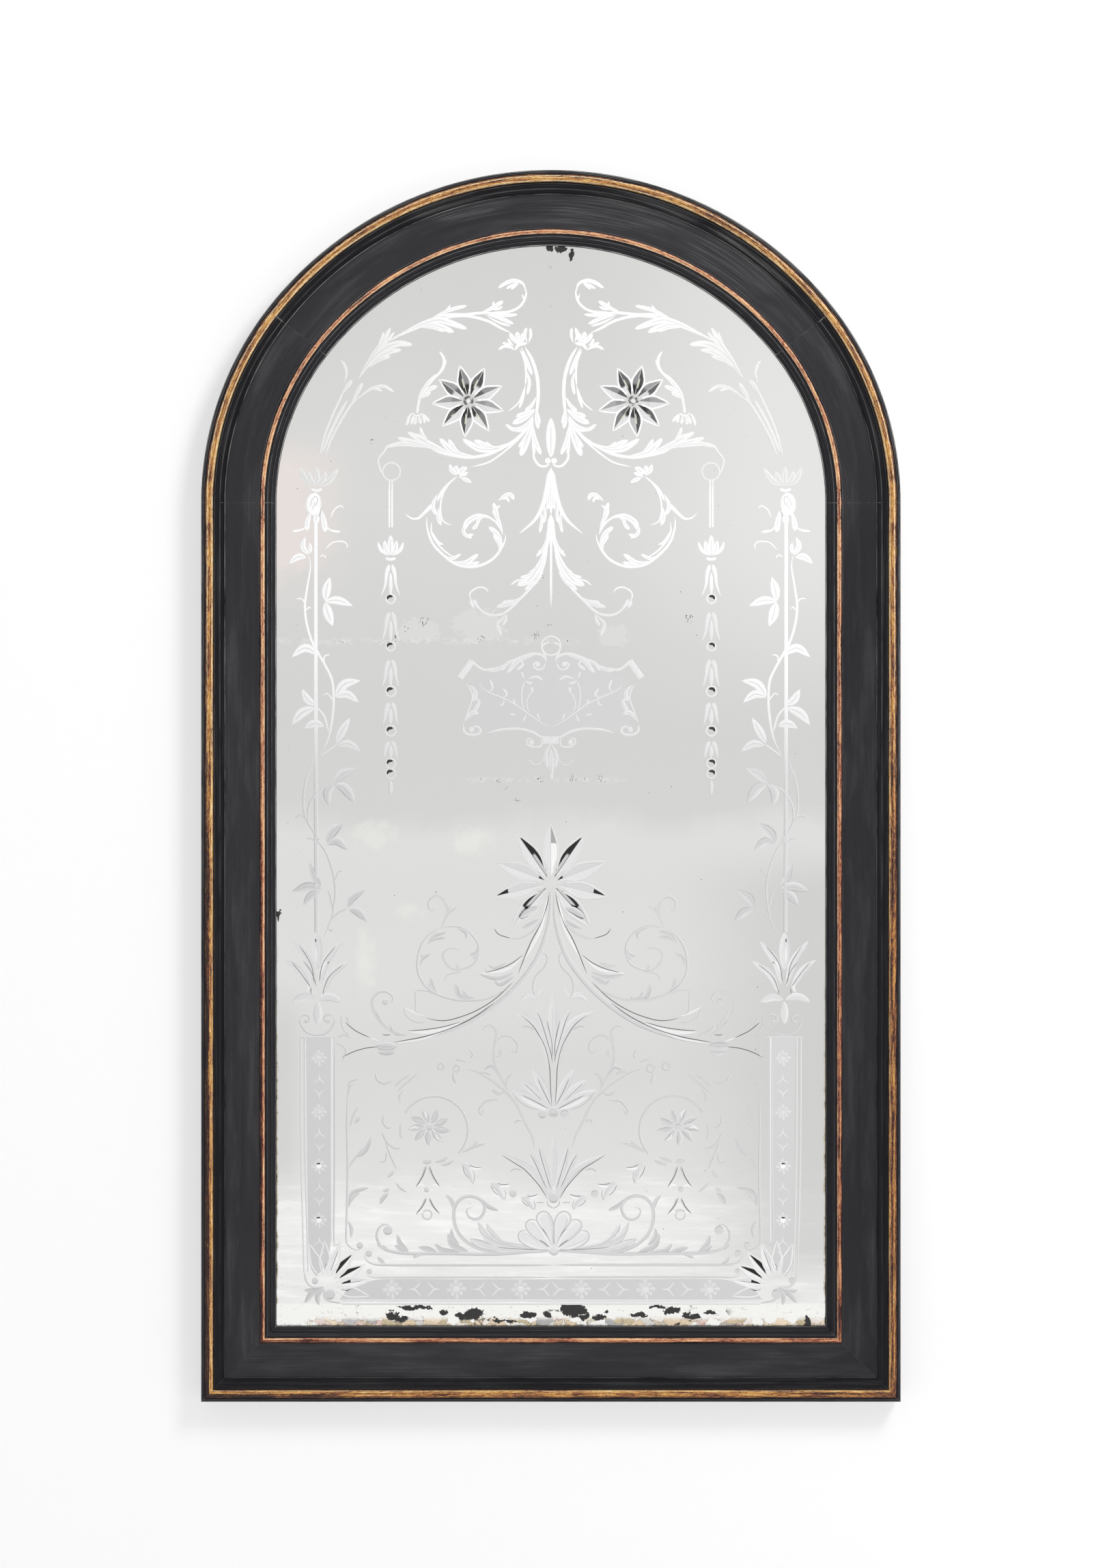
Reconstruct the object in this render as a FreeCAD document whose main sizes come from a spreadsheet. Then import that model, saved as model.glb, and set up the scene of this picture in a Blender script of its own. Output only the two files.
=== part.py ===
"""Arched wall mirror with an ebonised frame, two gilt beads and a cut plate of silvered glass.

Z is up and the front faces -Y. Y is zero on the flat back of the frame, which faces the wall.
The origin is on the centre line, level with the springing of the arch.
A place in the frame's section is written as (inset, depth): inset runs from the outer edge
towards the glass, and depth runs from the flat back towards the front.
"""
import FreeCAD, Part
import math
import os
import re
import Sketcher

SIZES = {
    # The arch and the straight sides
    "overall_width": 1168,
    "stile_height": 1502,
    "haunch_radius": 527,
    "haunch_angle": 37.7,
    # Widths across the section, from the outer edge inwards
    "edge_width": 6.5,
    "bead_width": 14,
    "cove_width": 18,
    "frieze_width": 59.5,
    "slip_width": 8,
    "sight_width": 18.5,
    "seat_width": 8.5,
    # Heights of the mouldings on the carcass
    "edge_height": 10,
    "edge_round": 4,
    "bead_base": 8,
    "bead_rise": 6.6,
    "cove_height": 9,
    "cove_lip": 4.5,
    "cove_round": 1.5,
    "cove_sag": 3.2,
    "slip_base": 1.5,
    "slip_rise": 3.7,
    "sight_height": 9,
    "arris_width": 10,
    "arris_height": 6.5,
    "sight_lip": 3,
    "sight_sag": 1.6,
    "seat_step": 8,
    "hook_depth": 3.7,
    # The glass and what stands behind it
    "glass_thickness": 8,
    "glass_clearance": 0.3,
    "glass_gap": 1.5,
    "silver_thickness": 0.2,
    "board_thickness": 10,
    "board_ledge": 14,
    "board_gap": 0.5,
    "plank_count": 8,
    "plank_gap": 0.6,
    "block_depth": 5.8,
    "block_width": 9,
    "block_length": 60,
    "block_gap": 0.3,
    # Loose tongues in the joints of the carcass
    "tongue_thickness": 6,
    "tongue_reach": 60,
    "tongue_width": 56,
    "tongue_back": 13,
    "tongue_fit": 0.2,
    # Wheel cuts in the glass
    "cut_slope": 24,
    "star_across": 138,
    "star_up": 171,
    "star_eye": 9,
    "star_reach": 56,
    "star_petal_width": 17,
    "star_petals": 9,
    "star_tilt": 14,
    "heart_down": 636,
    "heart_eye": 11,
    "heart_reach": 94,
    "heart_petal_width": 21,
    "heart_petals": 9,
    "heart_spread": 276,
    "fan_across": 378,
    "fan_down": 1311,
    "fan_eye": 27,
    "fan_reach": 71,
    "fan_petal_width": 13,
    "fan_petals": 7,
    "fan_spread": 124,
    "fan_tilt": 41,
    # Wood screws
    "screw_diameter": 4,
    "screw_head": 8,
    "screw_length": 24,
    "screw_tip": 5,
    "screw_slot": 1,
    "screw_fit": 0.1,
    # Hangers and bumpers on the back
    "hanger_inset": 52,
    "hanger_drop": 120,
    "hanger_length": 66,
    "hanger_height": 20,
    "hanger_thickness": 2.5,
    "hanger_hole_span": 46,
    "lug_diameter": 9,
    "lug_length": 16,
    "lug_standoff": 5.5,
    "ring_wire": 4,
    "ring_fit": 0.05,
    "ring_half_width": 15,
    "ring_corner": 5,
    "ring_side": 12,
    "bumper_diameter": 26,
    "bumper_height": 10,
    "bumper_round": 2,
    "bumper_inset": 56,
    # Every cutting tool runs this far past what it cuts, and the grinding wheel this far
    "overrun": 5,
    "wheel_overrun": 0.4,
}

# Where the loose pieces sit, as shares of the length that carries them
STILE_BLOCK_SHARES = (0.1, 0.37, 0.63, 0.9)
RAIL_BLOCK_SHARES = (-0.8, 0.0, 0.8)
HAUNCH_BLOCK_SHARES = (0.5,)
CROWN_BLOCK_SHARES = (-0.7, 0.0, 0.7)
PLANK_SCREW_SHARES = (0.22, 0.78)
RAIL_SCREW_SHARES = (-0.7, -0.25, 0.25, 0.7)

doc = FreeCAD.newDocument("arched_mirror")
sheet = doc.addObject("Spreadsheet::Sheet", "sizes")
for row, (alias, number) in enumerate(SIZES.items(), start=1):
    sheet.set(f"A{row}", alias)
    sheet.set(f"B{row}", str(number))
    sheet.setAlias(f"B{row}", alias)
doc.recompute()

SIDES = {"left": "-1", "right": "1"}
nodes = []


def cells(text):
    """Point each size named in an expression at its cell of the sheet."""
    return re.sub(r"[a-z][a-z_]+[a-z]", lambda word: f"sizes.{word[0]}" if word[0] in SIZES else word[0], text)


def value(text):
    """The number that an expression of named sizes comes to."""
    return float(sheet.evalExpression(text))


def bind(obj, **properties):
    """Bind properties to expressions of named sizes; a double underscore stands for a dot."""
    for name, text in properties.items():
        obj.setExpression(name.replace("__", "."), cells(text))
    return obj


def keep(obj, label):
    """Take an object as a finished piece under its own name."""
    obj.Label = label
    nodes.append(obj)
    return obj


# Insets and depths of the section, built up from the sizes
BEAD = "edge_width"
COVE = f"{BEAD} + bead_width"
FRIEZE = f"{COVE} + cove_width"
SLIP = f"{FRIEZE} + frieze_width"
SIGHT = f"{SLIP} + slip_width"
OPENING = f"{SIGHT} + sight_width"
REBATE = f"{SIGHT} + seat_width"
BOARD_STEP = f"{REBATE} - board_ledge"
BOARD_EDGE = f"{BOARD_STEP} + board_gap"
GLASS_EDGE = f"{REBATE} + glass_gap"
SCREW_LINE = f"{REBATE} - board_ledge / 2"

SILVER_BACK = "board_thickness + block_depth"
GLASS_BACK = f"{SILVER_BACK} + silver_thickness"
GLASS_FRONT = f"{GLASS_BACK} + glass_thickness"
HOOK = f"{GLASS_FRONT} + glass_clearance"
SEAT = f"{HOOK} + hook_depth"
FRONT = f"{SEAT} + seat_step"

# Centres and radii of the three-centred arch: each haunch runs tangent into the crown
HALF = "overall_width / 2"
HAUNCH_ACROSS = f"({HALF} - haunch_radius)"
CROWN_DROP = f"({HAUNCH_ACROSS} * tan(haunch_angle))"
CROWN_RADIUS = f"(haunch_radius + {HAUNCH_ACROSS} / cos(haunch_angle))"
CROWN_HALF_ANGLE = "(90 - haunch_angle)"


def bow(start, end, rise):
    """An arc whose middle stands a rise to the left of its chord: its middle point and its centre."""
    run = [f"(({b}) - ({a}))" for a, b in zip(start, end)]
    half = [f"((({a}) + ({b})) / 2)" for a, b in zip(start, end)]
    chord = f"sqrt({run[0]}^2 + {run[1]}^2)"
    sink = f"((({rise})^2 - {chord}^2 / 4) / (2 * ({rise})))"
    return tuple(
        (f"{half[0]} - {run[1]} / {chord} * {reach}", f"{half[1]} + {run[0]} / {chord} * {reach}")
        for reach in (f"({rise})", sink))


def add_sketch(body, role, name):
    """A sketch on one of the body's own origin planes."""
    plane = next(f for f in body.Origin.OriginFeatures if f.Role == role)
    sketch = body.newObject("Sketcher::SketchObject", name)
    sketch.AttachmentSupport = (plane, [""])
    sketch.MapMode = "FlatFace"
    return sketch


def add_loop(sketch, corners):
    """Close a loop through corners (x, y, bend).

    A bend is the arc of the side that leaves its corner, as its middle point and its centre.
    """
    points = [FreeCAD.Vector(value(x), value(y), 0) for x, y, bend in corners]
    sides = []
    for index, (x, y, bend) in enumerate(corners):
        start, end = points[index], points[(index + 1) % len(points)]
        if bend is None:
            sides.append((sketch.addGeometry(Part.LineSegment(start, end)), 1))
            continue
        middle, centre = (FreeCAD.Vector(value(place[0]), value(place[1]), 0) for place in bend)
        forward = (end - start).cross(middle - start).z < 0
        spans = [math.atan2(point.y - centre.y, point.x - centre.x) for point in (start, end)]
        circle = Part.Circle(centre, FreeCAD.Vector(0, 0, 1), (start - centre).Length)
        arc = Part.ArcOfCircle(circle, *(spans if forward else reversed(spans)))
        sides.append((sketch.addGeometry(arc), 1 if forward else 2))
    for index, (x, y, bend) in enumerate(corners):
        number, first = sides[index]
        previous, entered = sides[index - 1]
        sketch.addConstraint(Sketcher.Constraint("Coincident", previous, 3 - entered, number, first))
        bind_place(sketch, "DistanceX", number, first, x)
        bind_place(sketch, "DistanceY", number, first, y)
        if bend is not None:
            run = points[(index + 1) % len(points)] - points[index]
            if abs(run.x) < abs(run.y):
                bind_place(sketch, "DistanceX", number, 3, bend[1][0])
            else:
                bind_place(sketch, "DistanceY", number, 3, bend[1][1])


def bind_place(sketch, kind, number, point, text):
    """Dimension a point of a sketch's geometry from the sketch's origin."""
    bind_constraint(sketch, Sketcher.Constraint(kind, -1, 1, number, point, value(text)), text)


def bind_constraint(sketch, constraint, text):
    """Add a dimension to a sketch and bind it to its expression."""
    number = sketch.addConstraint(constraint)
    sketch.setExpression(f"Constraints[{number}]", cells(text))


def add_circle(sketch, across, along, diameter):
    """A circle at (across, along) from the sketch's origin."""
    centre = FreeCAD.Vector(value(across), value(along), 0)
    number = sketch.addGeometry(Part.Circle(centre, FreeCAD.Vector(0, 0, 1), value(diameter) / 2))
    bind_place(sketch, "DistanceX", number, 3, across)
    bind_place(sketch, "DistanceY", number, 3, along)
    bind_constraint(sketch, Sketcher.Constraint("Diameter", number, value(diameter)), diameter)


def pad(body, sketch, length, midplane=False, back=False):
    """Carry a sketch straight out by a length."""
    feature = body.newObject("PartDesign::Pad", "Pad")
    feature.Profile = sketch
    feature.Midplane = midplane
    feature.Reversed = back
    bind(feature, Length=length)
    return feature


def cut_through(body, sketch):
    """Cut a sketch right through the body, both ways."""
    feature = body.newObject("PartDesign::Pocket", "Pocket")
    feature.Profile = sketch
    feature.Type = "ThroughAll"
    feature.Midplane = True
    return feature


def revolve(body, sketch, axis, angle, midplane=False, back=False):
    """Carry a sketch round one of its own axes."""
    feature = body.newObject("PartDesign::Revolution", "Revolution")
    feature.Profile = sketch
    feature.ReferenceAxis = (sketch, [axis])
    feature.Midplane = midplane
    feature.Reversed = back
    bind(feature, Angle=angle)
    return feature


def new_body(name):
    return doc.addObject("PartDesign::Body", name)


def place_section(section, to_plane):
    """Turn (inset, depth, rise) corners into sketch corners; a rise bows the side after its corner."""
    corners = []
    for index, (inset, depth, rise) in enumerate(section):
        bend = None
        if rise is not None:
            following = section[(index + 1) % len(section)]
            bend = tuple(to_plane(*place) for place in bow((inset, depth), following[:2], rise))
        corners.append((*to_plane(inset, depth), bend))
    return corners


def mitre_corners(side, beyond_rail):
    """The triangle beyond the mitre line of one bottom corner, on the side of the rail or of the stile."""
    reach = f"({OPENING} + overrun)"
    low = (f"{side} * ({HALF} + overrun)", "-stile_height - overrun", None)
    high = (f"{side} * ({HALF} - {reach})", f"{reach} - stile_height", None)
    if beyond_rail:
        return [low, high, (high[0], low[1], None)]
    return [low, (low[0], high[1], None), high]


def stile(layer, section, name):
    """One upright length, mitred at its foot."""
    side = SIDES[name]
    body = new_body(f"{name}_stile_{layer}")
    sketch = add_sketch(body, "XY_Plane", "Section")
    add_loop(sketch, place_section(section, lambda u, v: (f"{side} * ({HALF} - ({u}))", f"-({v})")))
    pad(body, sketch, "stile_height", back=True)
    triangle = add_sketch(body, "XZ_Plane", "Mitre")
    add_loop(triangle, mitre_corners(side, True))
    cut_through(body, triangle)
    return body


def rail(layer, section):
    """The bottom length, mitred at both ends."""
    body = new_body(f"bottom_rail_{layer}")
    sketch = add_sketch(body, "YZ_Plane", "Section")
    add_loop(sketch, place_section(section, lambda u, v: (f"-({v})", f"({u}) - stile_height")))
    pad(body, sketch, "overall_width", midplane=True)
    triangles = add_sketch(body, "XZ_Plane", "Mitres")
    for side in SIDES.values():
        add_loop(triangles, mitre_corners(side, False))
    cut_through(body, triangles)
    return body


def haunch(layer, section, name):
    """One tight curve of the arch, from the springing up to the crown."""
    side = SIDES[name]
    body = new_body(f"{name}_haunch_{layer}")
    sketch = add_sketch(body, "XY_Plane", "Section")
    add_loop(sketch, place_section(section, lambda u, v: (f"{side} * (haunch_radius - ({u}))", f"-({v})")))
    revolve(body, sketch, "V_Axis", "haunch_angle", back=name == "right")
    bind(body, Placement__Base__x=f"{side} * {HAUNCH_ACROSS}")
    return body


def crown(layer, section):
    """The flatter curve at the top of the arch."""
    body = new_body(f"crown_{layer}")
    sketch = add_sketch(body, "YZ_Plane", "Section")
    add_loop(sketch, place_section(section, lambda u, v: (f"-({v})", f"{CROWN_RADIUS} - ({u})")))
    revolve(body, sketch, "H_Axis", f"2 * {CROWN_HALF_ANGLE}", midplane=True)
    bind(body, Placement__Base__z=f"-{CROWN_DROP}")
    return body


def frame_layer(layer, section):
    """The six lengths of one layer of the frame."""
    lengths = [stile(layer, section, name) for name in SIDES]
    lengths += [haunch(layer, section, name) for name in SIDES]
    return lengths + [rail(layer, section), crown(layer, section)]


def square_round(size):
    """The rise of a quarter round of a given size over its chord."""
    return f"({size}) * (1 - sqrt(1 / 2))"


# The layers of the frame as closed outlines of (inset, depth, rise of the next side)
CARCASS_SECTION = [
    ("0", "0", None), ("0", FRONT, None), (SIGHT, FRONT, None), (SIGHT, SEAT, None),
    (REBATE, SEAT, None), (REBATE, "board_thickness", None),
    (BOARD_STEP, "board_thickness", None), (BOARD_STEP, "0", None)]
EDGE_TOP = f"{FRONT} + edge_height"
EDGE_SECTION = [
    ("0", FRONT, None), ("0", f"{EDGE_TOP} - edge_round", square_round("edge_round")),
    ("edge_round", EDGE_TOP, None), (BEAD, EDGE_TOP, None), (BEAD, FRONT, None)]
BEAD_SECTION = [
    (BEAD, FRONT, None), (BEAD, f"{FRONT} + bead_base", "bead_rise"),
    (COVE, f"{FRONT} + bead_base", None), (COVE, FRONT, None)]
COVE_SECTION = [
    (COVE, FRONT, None), (COVE, f"{FRONT} + cove_height", "-cove_sag"),
    (f"{FRIEZE} - cove_round", f"{FRONT} + cove_lip", square_round("cove_round")),
    (FRIEZE, f"{FRONT} + cove_lip - cove_round", None), (FRIEZE, FRONT, None)]
SLIP_SECTION = [
    (SLIP, FRONT, None), (SLIP, f"{FRONT} + slip_base", "slip_rise"),
    (SIGHT, f"{FRONT} + slip_base", None), (SIGHT, FRONT, None)]
SIGHT_SECTION = [
    (SIGHT, SEAT, None), (SIGHT, f"{SEAT} + sight_height", None),
    (f"{SIGHT} + arris_width", f"{SEAT} + arris_height", "-sight_sag"),
    (OPENING, f"{HOOK} + sight_lip", None), (OPENING, HOOK, None), (REBATE, HOOK, None),
    (REBATE, SEAT, None)]


def arch_slab(name, inset, back, thickness):
    """A flat slab with the arched outline of the frame, set in by an inset, at a depth from the back."""
    body = new_body(name)
    wide = f"({HALF} - ({inset}))"
    foot = f"(({inset}) - stile_height)"
    tight = f"(haunch_radius - ({inset}))"
    broad = f"({CROWN_RADIUS} - ({inset}))"

    def on_haunch(side, angle):
        return f"{side} * ({HAUNCH_ACROSS} + {tight} * cos({angle}))", f"{tight} * sin({angle})"

    middle = "haunch_angle / 2"
    corners = [
        (f"-{wide}", foot, None), (wide, foot, None),
        (wide, "0", (on_haunch("1", middle), (HAUNCH_ACROSS, "0"))),
        (*on_haunch("1", "haunch_angle"), (("0", f"{broad} - {CROWN_DROP}"), ("0", f"-{CROWN_DROP}"))),
        (*on_haunch("-1", "haunch_angle"), (on_haunch("-1", middle), (f"-{HAUNCH_ACROSS}", "0"))),
        (f"-{wide}", "0", None)]
    sketch = add_sketch(body, "XZ_Plane", "Outline")
    add_loop(sketch, corners)
    pad(body, sketch, thickness)
    bind(body, Placement__Base__y=f"-({back})")
    return body


def cutting_wheel(name, eye, reach, width):
    """The part of a grinding wheel, two cones base to base, that bites a lens-shaped V cut into the glass.

    Y is zero on the face of the glass. The cut points up and down, as wide as given, and its two
    ends lie an eye and a reach from the centre of its star.
    """
    half_length = f"(({reach}) - ({eye})) / 2"
    depth = f"({width} / 2 * tan(cut_slope))"
    radius = f"((({half_length})^2 + {depth}^2) / (2 * {depth}))"
    axle_height = f"({depth} - {radius})"
    spill = f"(({width}) / 2 + wheel_overrun / tan(cut_slope))"
    body = new_body(name)
    rim = add_sketch(body, "XY_Plane", "Rim")
    add_loop(rim, [("0", depth, None), (f"-{spill}", "-wheel_overrun", None), (spill, "-wheel_overrun", None)])
    height = value(axle_height)
    axle = rim.addGeometry(Part.LineSegment(
        FreeCAD.Vector(0, height, 0), FreeCAD.Vector(value(width), height, 0)), True)
    bind_place(rim, "DistanceX", axle, 1, "0")
    bind_place(rim, "DistanceX", axle, 2, width)
    bind_place(rim, "DistanceY", axle, 1, axle_height)
    bind_place(rim, "DistanceY", axle, 2, axle_height)
    revolve(body, rim, "Axis0", f"2 * acos(({radius} - {depth} - wheel_overrun) / {radius})", midplane=True)
    return body


def petals(wheel, name, centre, middle, first, step, count):
    """The wheel at each petal of a star or a fan, turned in even steps about its centre."""
    return [linked(wheel, f"{name}_{number}",
                   f"{centre[0]} - {middle} * sin({first} + {step} * {number})", f"-({GLASS_FRONT})",
                   f"{centre[1]} + {middle} * cos({first} + {step} * {number})",
                   f"{first} + {step} * {number}")
            for number in range(round(value(count)))]


def turned(name, corners):
    """A solid turned about the Y axis from (radius, y, rise) corners."""
    body = new_body(name)
    sketch = add_sketch(body, "XY_Plane", "Profile")
    add_loop(sketch, place_section(corners, lambda u, v: (u, v)))
    revolve(body, sketch, "V_Axis", "360")
    return body


def linked(source, name, across, along, up, angle="0"):
    """A copy of a piece moved to a place and turned in the plane of the glass."""
    link = doc.addObject("App::Link", name)
    link.LinkedObject = source
    link.LinkTransform = True
    link.Placement = FreeCAD.Placement(
        FreeCAD.Vector(0, 0, 0), FreeCAD.Rotation(FreeCAD.Vector(0, -1, 0), 1))
    return bind(link, Placement__Base__x=across, Placement__Base__y=along, Placement__Base__z=up,
                Placement__Rotation__Angle=angle)


def group(name, members):
    compound = doc.addObject("Part::Compound", name)
    compound.Links = members
    return compound


def subtract(base, tool):
    cut = doc.addObject("Part::Cut", f"{base.Name}_cut")
    cut.Base = base
    cut.Tool = tool
    return cut


# Cutting tools for the joints and the screws
def on_arch(centre_across, centre_up, radius, angle):
    """A place on an arc of the arch, its angle measured from level."""
    return f"{centre_across} + ({radius}) * cos({angle})", f"{centre_up} + ({radius}) * sin({angle})"


def haunch_place(side, inset, share):
    """A place part of the way up a haunch, and the turn there."""
    angle = f"({share} * haunch_angle)"
    across, up = on_arch(HAUNCH_ACROSS, "0", f"haunch_radius - ({inset})", angle)
    return f"{side} * ({across})", up, f"{side} * {angle}"


JOINT_INSET = f"({BOARD_STEP}) / 2"
joint_places = []
for side in SIDES.values():
    joint_places.append((f"{side} * ({HALF} - {JOINT_INSET})", f"{JOINT_INSET} - stile_height",
                         f"{side} * -45"))
    for joint_share in (0, 1):
        joint_places.append(haunch_place(side, JOINT_INSET, joint_share))


def tongue(name, clearance):
    """A loose tongue that lies across a joint, or the slot that it fits when given a clearance."""
    box = doc.addObject("Part::Box", name)
    width = f"(tongue_width + 2 * {clearance})"
    reach = f"(tongue_reach + 2 * {clearance})"
    thickness = f"(tongue_thickness + 2 * {clearance})"
    return bind(box, Length=width, Width=thickness, Height=reach,
                Placement__Base__x=f"-{width} / 2", Placement__Base__z=f"-{reach} / 2",
                Placement__Base__y=f"-(tongue_back + tongue_thickness + {clearance})")


def at_joints(source):
    """Copies of a piece at every joint of the carcass."""
    return [linked(source, f"{source.Name}_{number}", across, "0", up, turn)
            for number, (across, up, turn) in enumerate(joint_places)]


SHANK = "screw_diameter / 2"
HEAD = "screw_head / 2"
NECK = f"(({HEAD}) - ({SHANK}))"
screw = turned("screw", [
    ("0", "0", None), (HEAD, "0", None), (SHANK, f"-{NECK}", None),
    (SHANK, "screw_tip - screw_length", None), ("0", "-screw_length", None)])
slot = add_sketch(screw, "XY_Plane", "Slot")
slot_half = "screw_slot / 2"
add_loop(slot, [
    (f"-{slot_half}", "-screw_slot", None), (slot_half, "-screw_slot", None),
    (slot_half, "overrun", None), (f"-{slot_half}", "overrun", None)])
cut_through(screw, slot)
bore = turned("screw_bore", [
    ("0", "overrun", None), (f"{HEAD} + screw_fit", "overrun", None), (f"{HEAD} + screw_fit", "0", None),
    (f"{SHANK} + screw_fit", f"-{NECK}", None), (f"{SHANK} + screw_fit", "-screw_length - screw_fit", None),
    ("0", "-screw_length - screw_fit", None)])

PANEL_FOOT = f"(({BOARD_EDGE}) - stile_height)"
PANEL_HEAD = f"({CROWN_RADIUS} - {CROWN_DROP} - ({BOARD_EDGE}))"
PLANK_PITCH = f"(({PANEL_HEAD} - {PANEL_FOOT}) / plank_count)"

# Screws of the back boards follow the ledge all round; those of the hangers go through their plates
def ledge_across(up):
    """How far from the centre line the middle of the boards' ledge is, at a height."""
    straight = f"{HALF} - ({SCREW_LINE})"
    tight = f"(haunch_radius - ({SCREW_LINE}))"
    broad = f"({CROWN_RADIUS} - ({SCREW_LINE}))"
    on_haunch = f"{HAUNCH_ACROSS} + sqrt({tight}^2 - ({up})^2)"
    on_crown = f"sqrt({broad}^2 - ({up} + {CROWN_DROP})^2)"
    return f"({up} < 0 ? {straight} : ({up} < {tight} * sin(haunch_angle) ? {on_haunch} : {on_crown}))"


board_screw_places = [("0", f"{CROWN_RADIUS} - {CROWN_DROP} - ({SCREW_LINE})")]
for plank in range(round(value("plank_count"))):
    for screw_share in PLANK_SCREW_SHARES:
        up = f"({PANEL_FOOT} + {PLANK_PITCH} * {plank + screw_share})"
        board_screw_places += [(f"{side} * {ledge_across(up)}", up) for side in SIDES.values()]
for screw_share in RAIL_SCREW_SHARES:
    board_screw_places.append((f"{screw_share} * ({HALF} - ({SCREW_LINE}))",
                               f"{SCREW_LINE} - stile_height"))
HANGER_ACROSS = f"({HALF} - hanger_inset)"
hanger_screw_places = [
    (f"{side} * {HANGER_ACROSS} + {end} * hanger_hole_span / 2", "-hanger_drop")
    for side in SIDES.values() for end in SIDES.values()]


def at_screws(source, name, places, height):
    """Copies of a screw, or of its bore, with the head's top at a height off the back."""
    return [linked(source, f"{name}_{number}", across, height, up)
            for number, (across, up) in enumerate(places)]


board_bores = group("board_bores", at_screws(bore, "board_bore", board_screw_places, "0"))
hanger_bores = group("hanger_bores", at_screws(bore, "hanger_bore", hanger_screw_places, "hanger_thickness"))
slots = group("tongue_slots", at_joints(tongue("slot", "tongue_fit")))
carcass_cuts = group("carcass_cuts", [board_bores, hanger_bores, slots])

# The frame
for length in frame_layer("carcass", CARCASS_SECTION):
    length.Label = f"{length.Name}_blank"
    keep(subtract(length, carcass_cuts), length.Name)
for layer, section in (("edge_strip", EDGE_SECTION), ("gilt_bead", BEAD_SECTION), ("cove", COVE_SECTION),
                       ("gilt_slip", SLIP_SECTION), ("sight_moulding", SIGHT_SECTION)):
    for length in frame_layer(layer, section):
        keep(length, length.Name)
keep(group("tongues", at_joints(tongue("tongue", "0"))), "joint_tongues")

# The plate, its silver and the blocks that hold it
plate = arch_slab("plate", GLASS_EDGE, GLASS_BACK, "glass_thickness")
star_wheel = cutting_wheel("star_wheel", "star_eye", "star_reach", "star_petal_width")
heart_wheel = cutting_wheel("heart_wheel", "heart_eye", "heart_reach", "heart_petal_width")
fan_wheel = cutting_wheel("fan_wheel", "fan_eye", "fan_reach", "fan_petal_width")
cuts = petals(heart_wheel, "heart", ("0", "-heart_down"), "(heart_eye + heart_reach) / 2",
              "-heart_spread / 2", "heart_spread / (heart_petals - 1)", "heart_petals")
for name, side in SIDES.items():
    cuts += petals(star_wheel, f"{name}_star", (f"{side} * star_across", "star_up"),
                   "(star_eye + star_reach) / 2", f"-{side} * star_tilt", "360 / star_petals", "star_petals")
    cuts += petals(fan_wheel, f"{name}_fan", (f"{side} * fan_across", "-fan_down"),
                   "(fan_eye + fan_reach) / 2", f"{side} * fan_tilt - fan_spread / 2",
                   "fan_spread / (fan_petals - 1)", "fan_petals")
keep(subtract(plate, group("wheel_cuts", cuts)), "mirror_plate")
keep(arch_slab("silver", GLASS_EDGE, SILVER_BACK, "silver_thickness"), "silvering")

block = doc.addObject("Part::Box", "block")
bind(block, Length="block_width", Width="block_depth", Height="block_length",
     Placement__Base__x="-block_width", Placement__Base__y=f"-({SILVER_BACK})",
     Placement__Base__z="-block_length / 2")
BLOCK_LINE = f"{REBATE} + block_gap"
STILE_ROOM = f"(stile_height - ({BLOCK_LINE}) - block_width - block_length)"
RAIL_ROOM = f"({HALF} - ({BLOCK_LINE}) - block_width - block_length / 2)"


def block_on_arc(centre_across, centre_up, radius, angle, turn, name):
    """A block with the ends of its outer face on an arc of the rebate."""
    face = f"sqrt(({radius} - ({BLOCK_LINE}))^2 - (block_length / 2)^2)"
    across, up = on_arch(centre_across, centre_up, face, angle)
    return linked(block, name, across, "0", up, turn)


blocks = []
for name, side in SIDES.items():
    turn = "0" if name == "right" else "180"
    for number, block_share in enumerate(STILE_BLOCK_SHARES):
        blocks.append(linked(block, f"{name}_block_{number}", f"{side} * ({HALF} - ({BLOCK_LINE}))", "0",
                             f"-block_length / 2 - {block_share} * {STILE_ROOM}", turn))
    for number, block_share in enumerate(HAUNCH_BLOCK_SHARES):
        angle = f"({block_share} * haunch_angle)"
        level = angle if name == "right" else f"(180 - {angle})"
        blocks.append(block_on_arc(f"{side} * {HAUNCH_ACROSS}", "0", "haunch_radius", level, level,
                                   f"{name}_haunch_block_{number}"))
for number, block_share in enumerate(CROWN_BLOCK_SHARES):
    level = f"(90 - {block_share} * {CROWN_HALF_ANGLE})"
    blocks.append(block_on_arc("0", f"-{CROWN_DROP}", CROWN_RADIUS, level, level, f"crown_block_{number}"))
for number, block_share in enumerate(RAIL_BLOCK_SHARES):
    blocks.append(linked(block, f"rail_block_{number}", f"{block_share} * {RAIL_ROOM}", "0",
                         f"{BLOCK_LINE} - stile_height", "-90"))
keep(group("blocks", blocks), "glass_blocks")

# The back boards, cut from one arched panel
panel = arch_slab("panel", BOARD_EDGE, "0", "board_thickness")
for plank in range(round(value("plank_count"))):
    strip = doc.addObject("Part::Box", f"strip_{plank}")
    last = plank == round(value("plank_count")) - 1
    spare = "overrun" if last else "-plank_gap"
    bind(strip, Length="overall_width", Width="board_thickness + 2 * overrun",
         Height=f"{PLANK_PITCH} + {spare}",
         Placement__Base__x=f"-{HALF}", Placement__Base__y="-board_thickness - overrun",
         Placement__Base__z=f"{PANEL_FOOT} + {PLANK_PITCH} * {plank}")
    board = doc.addObject("Part::Common", f"board_{plank}")
    board.Base = panel
    board.Tool = strip
    keep(subtract(board, board_bores), f"back_board_{plank + 1}")
keep(group("screws", at_screws(screw, "board_screw", board_screw_places, "0")), "board_screws")

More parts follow.
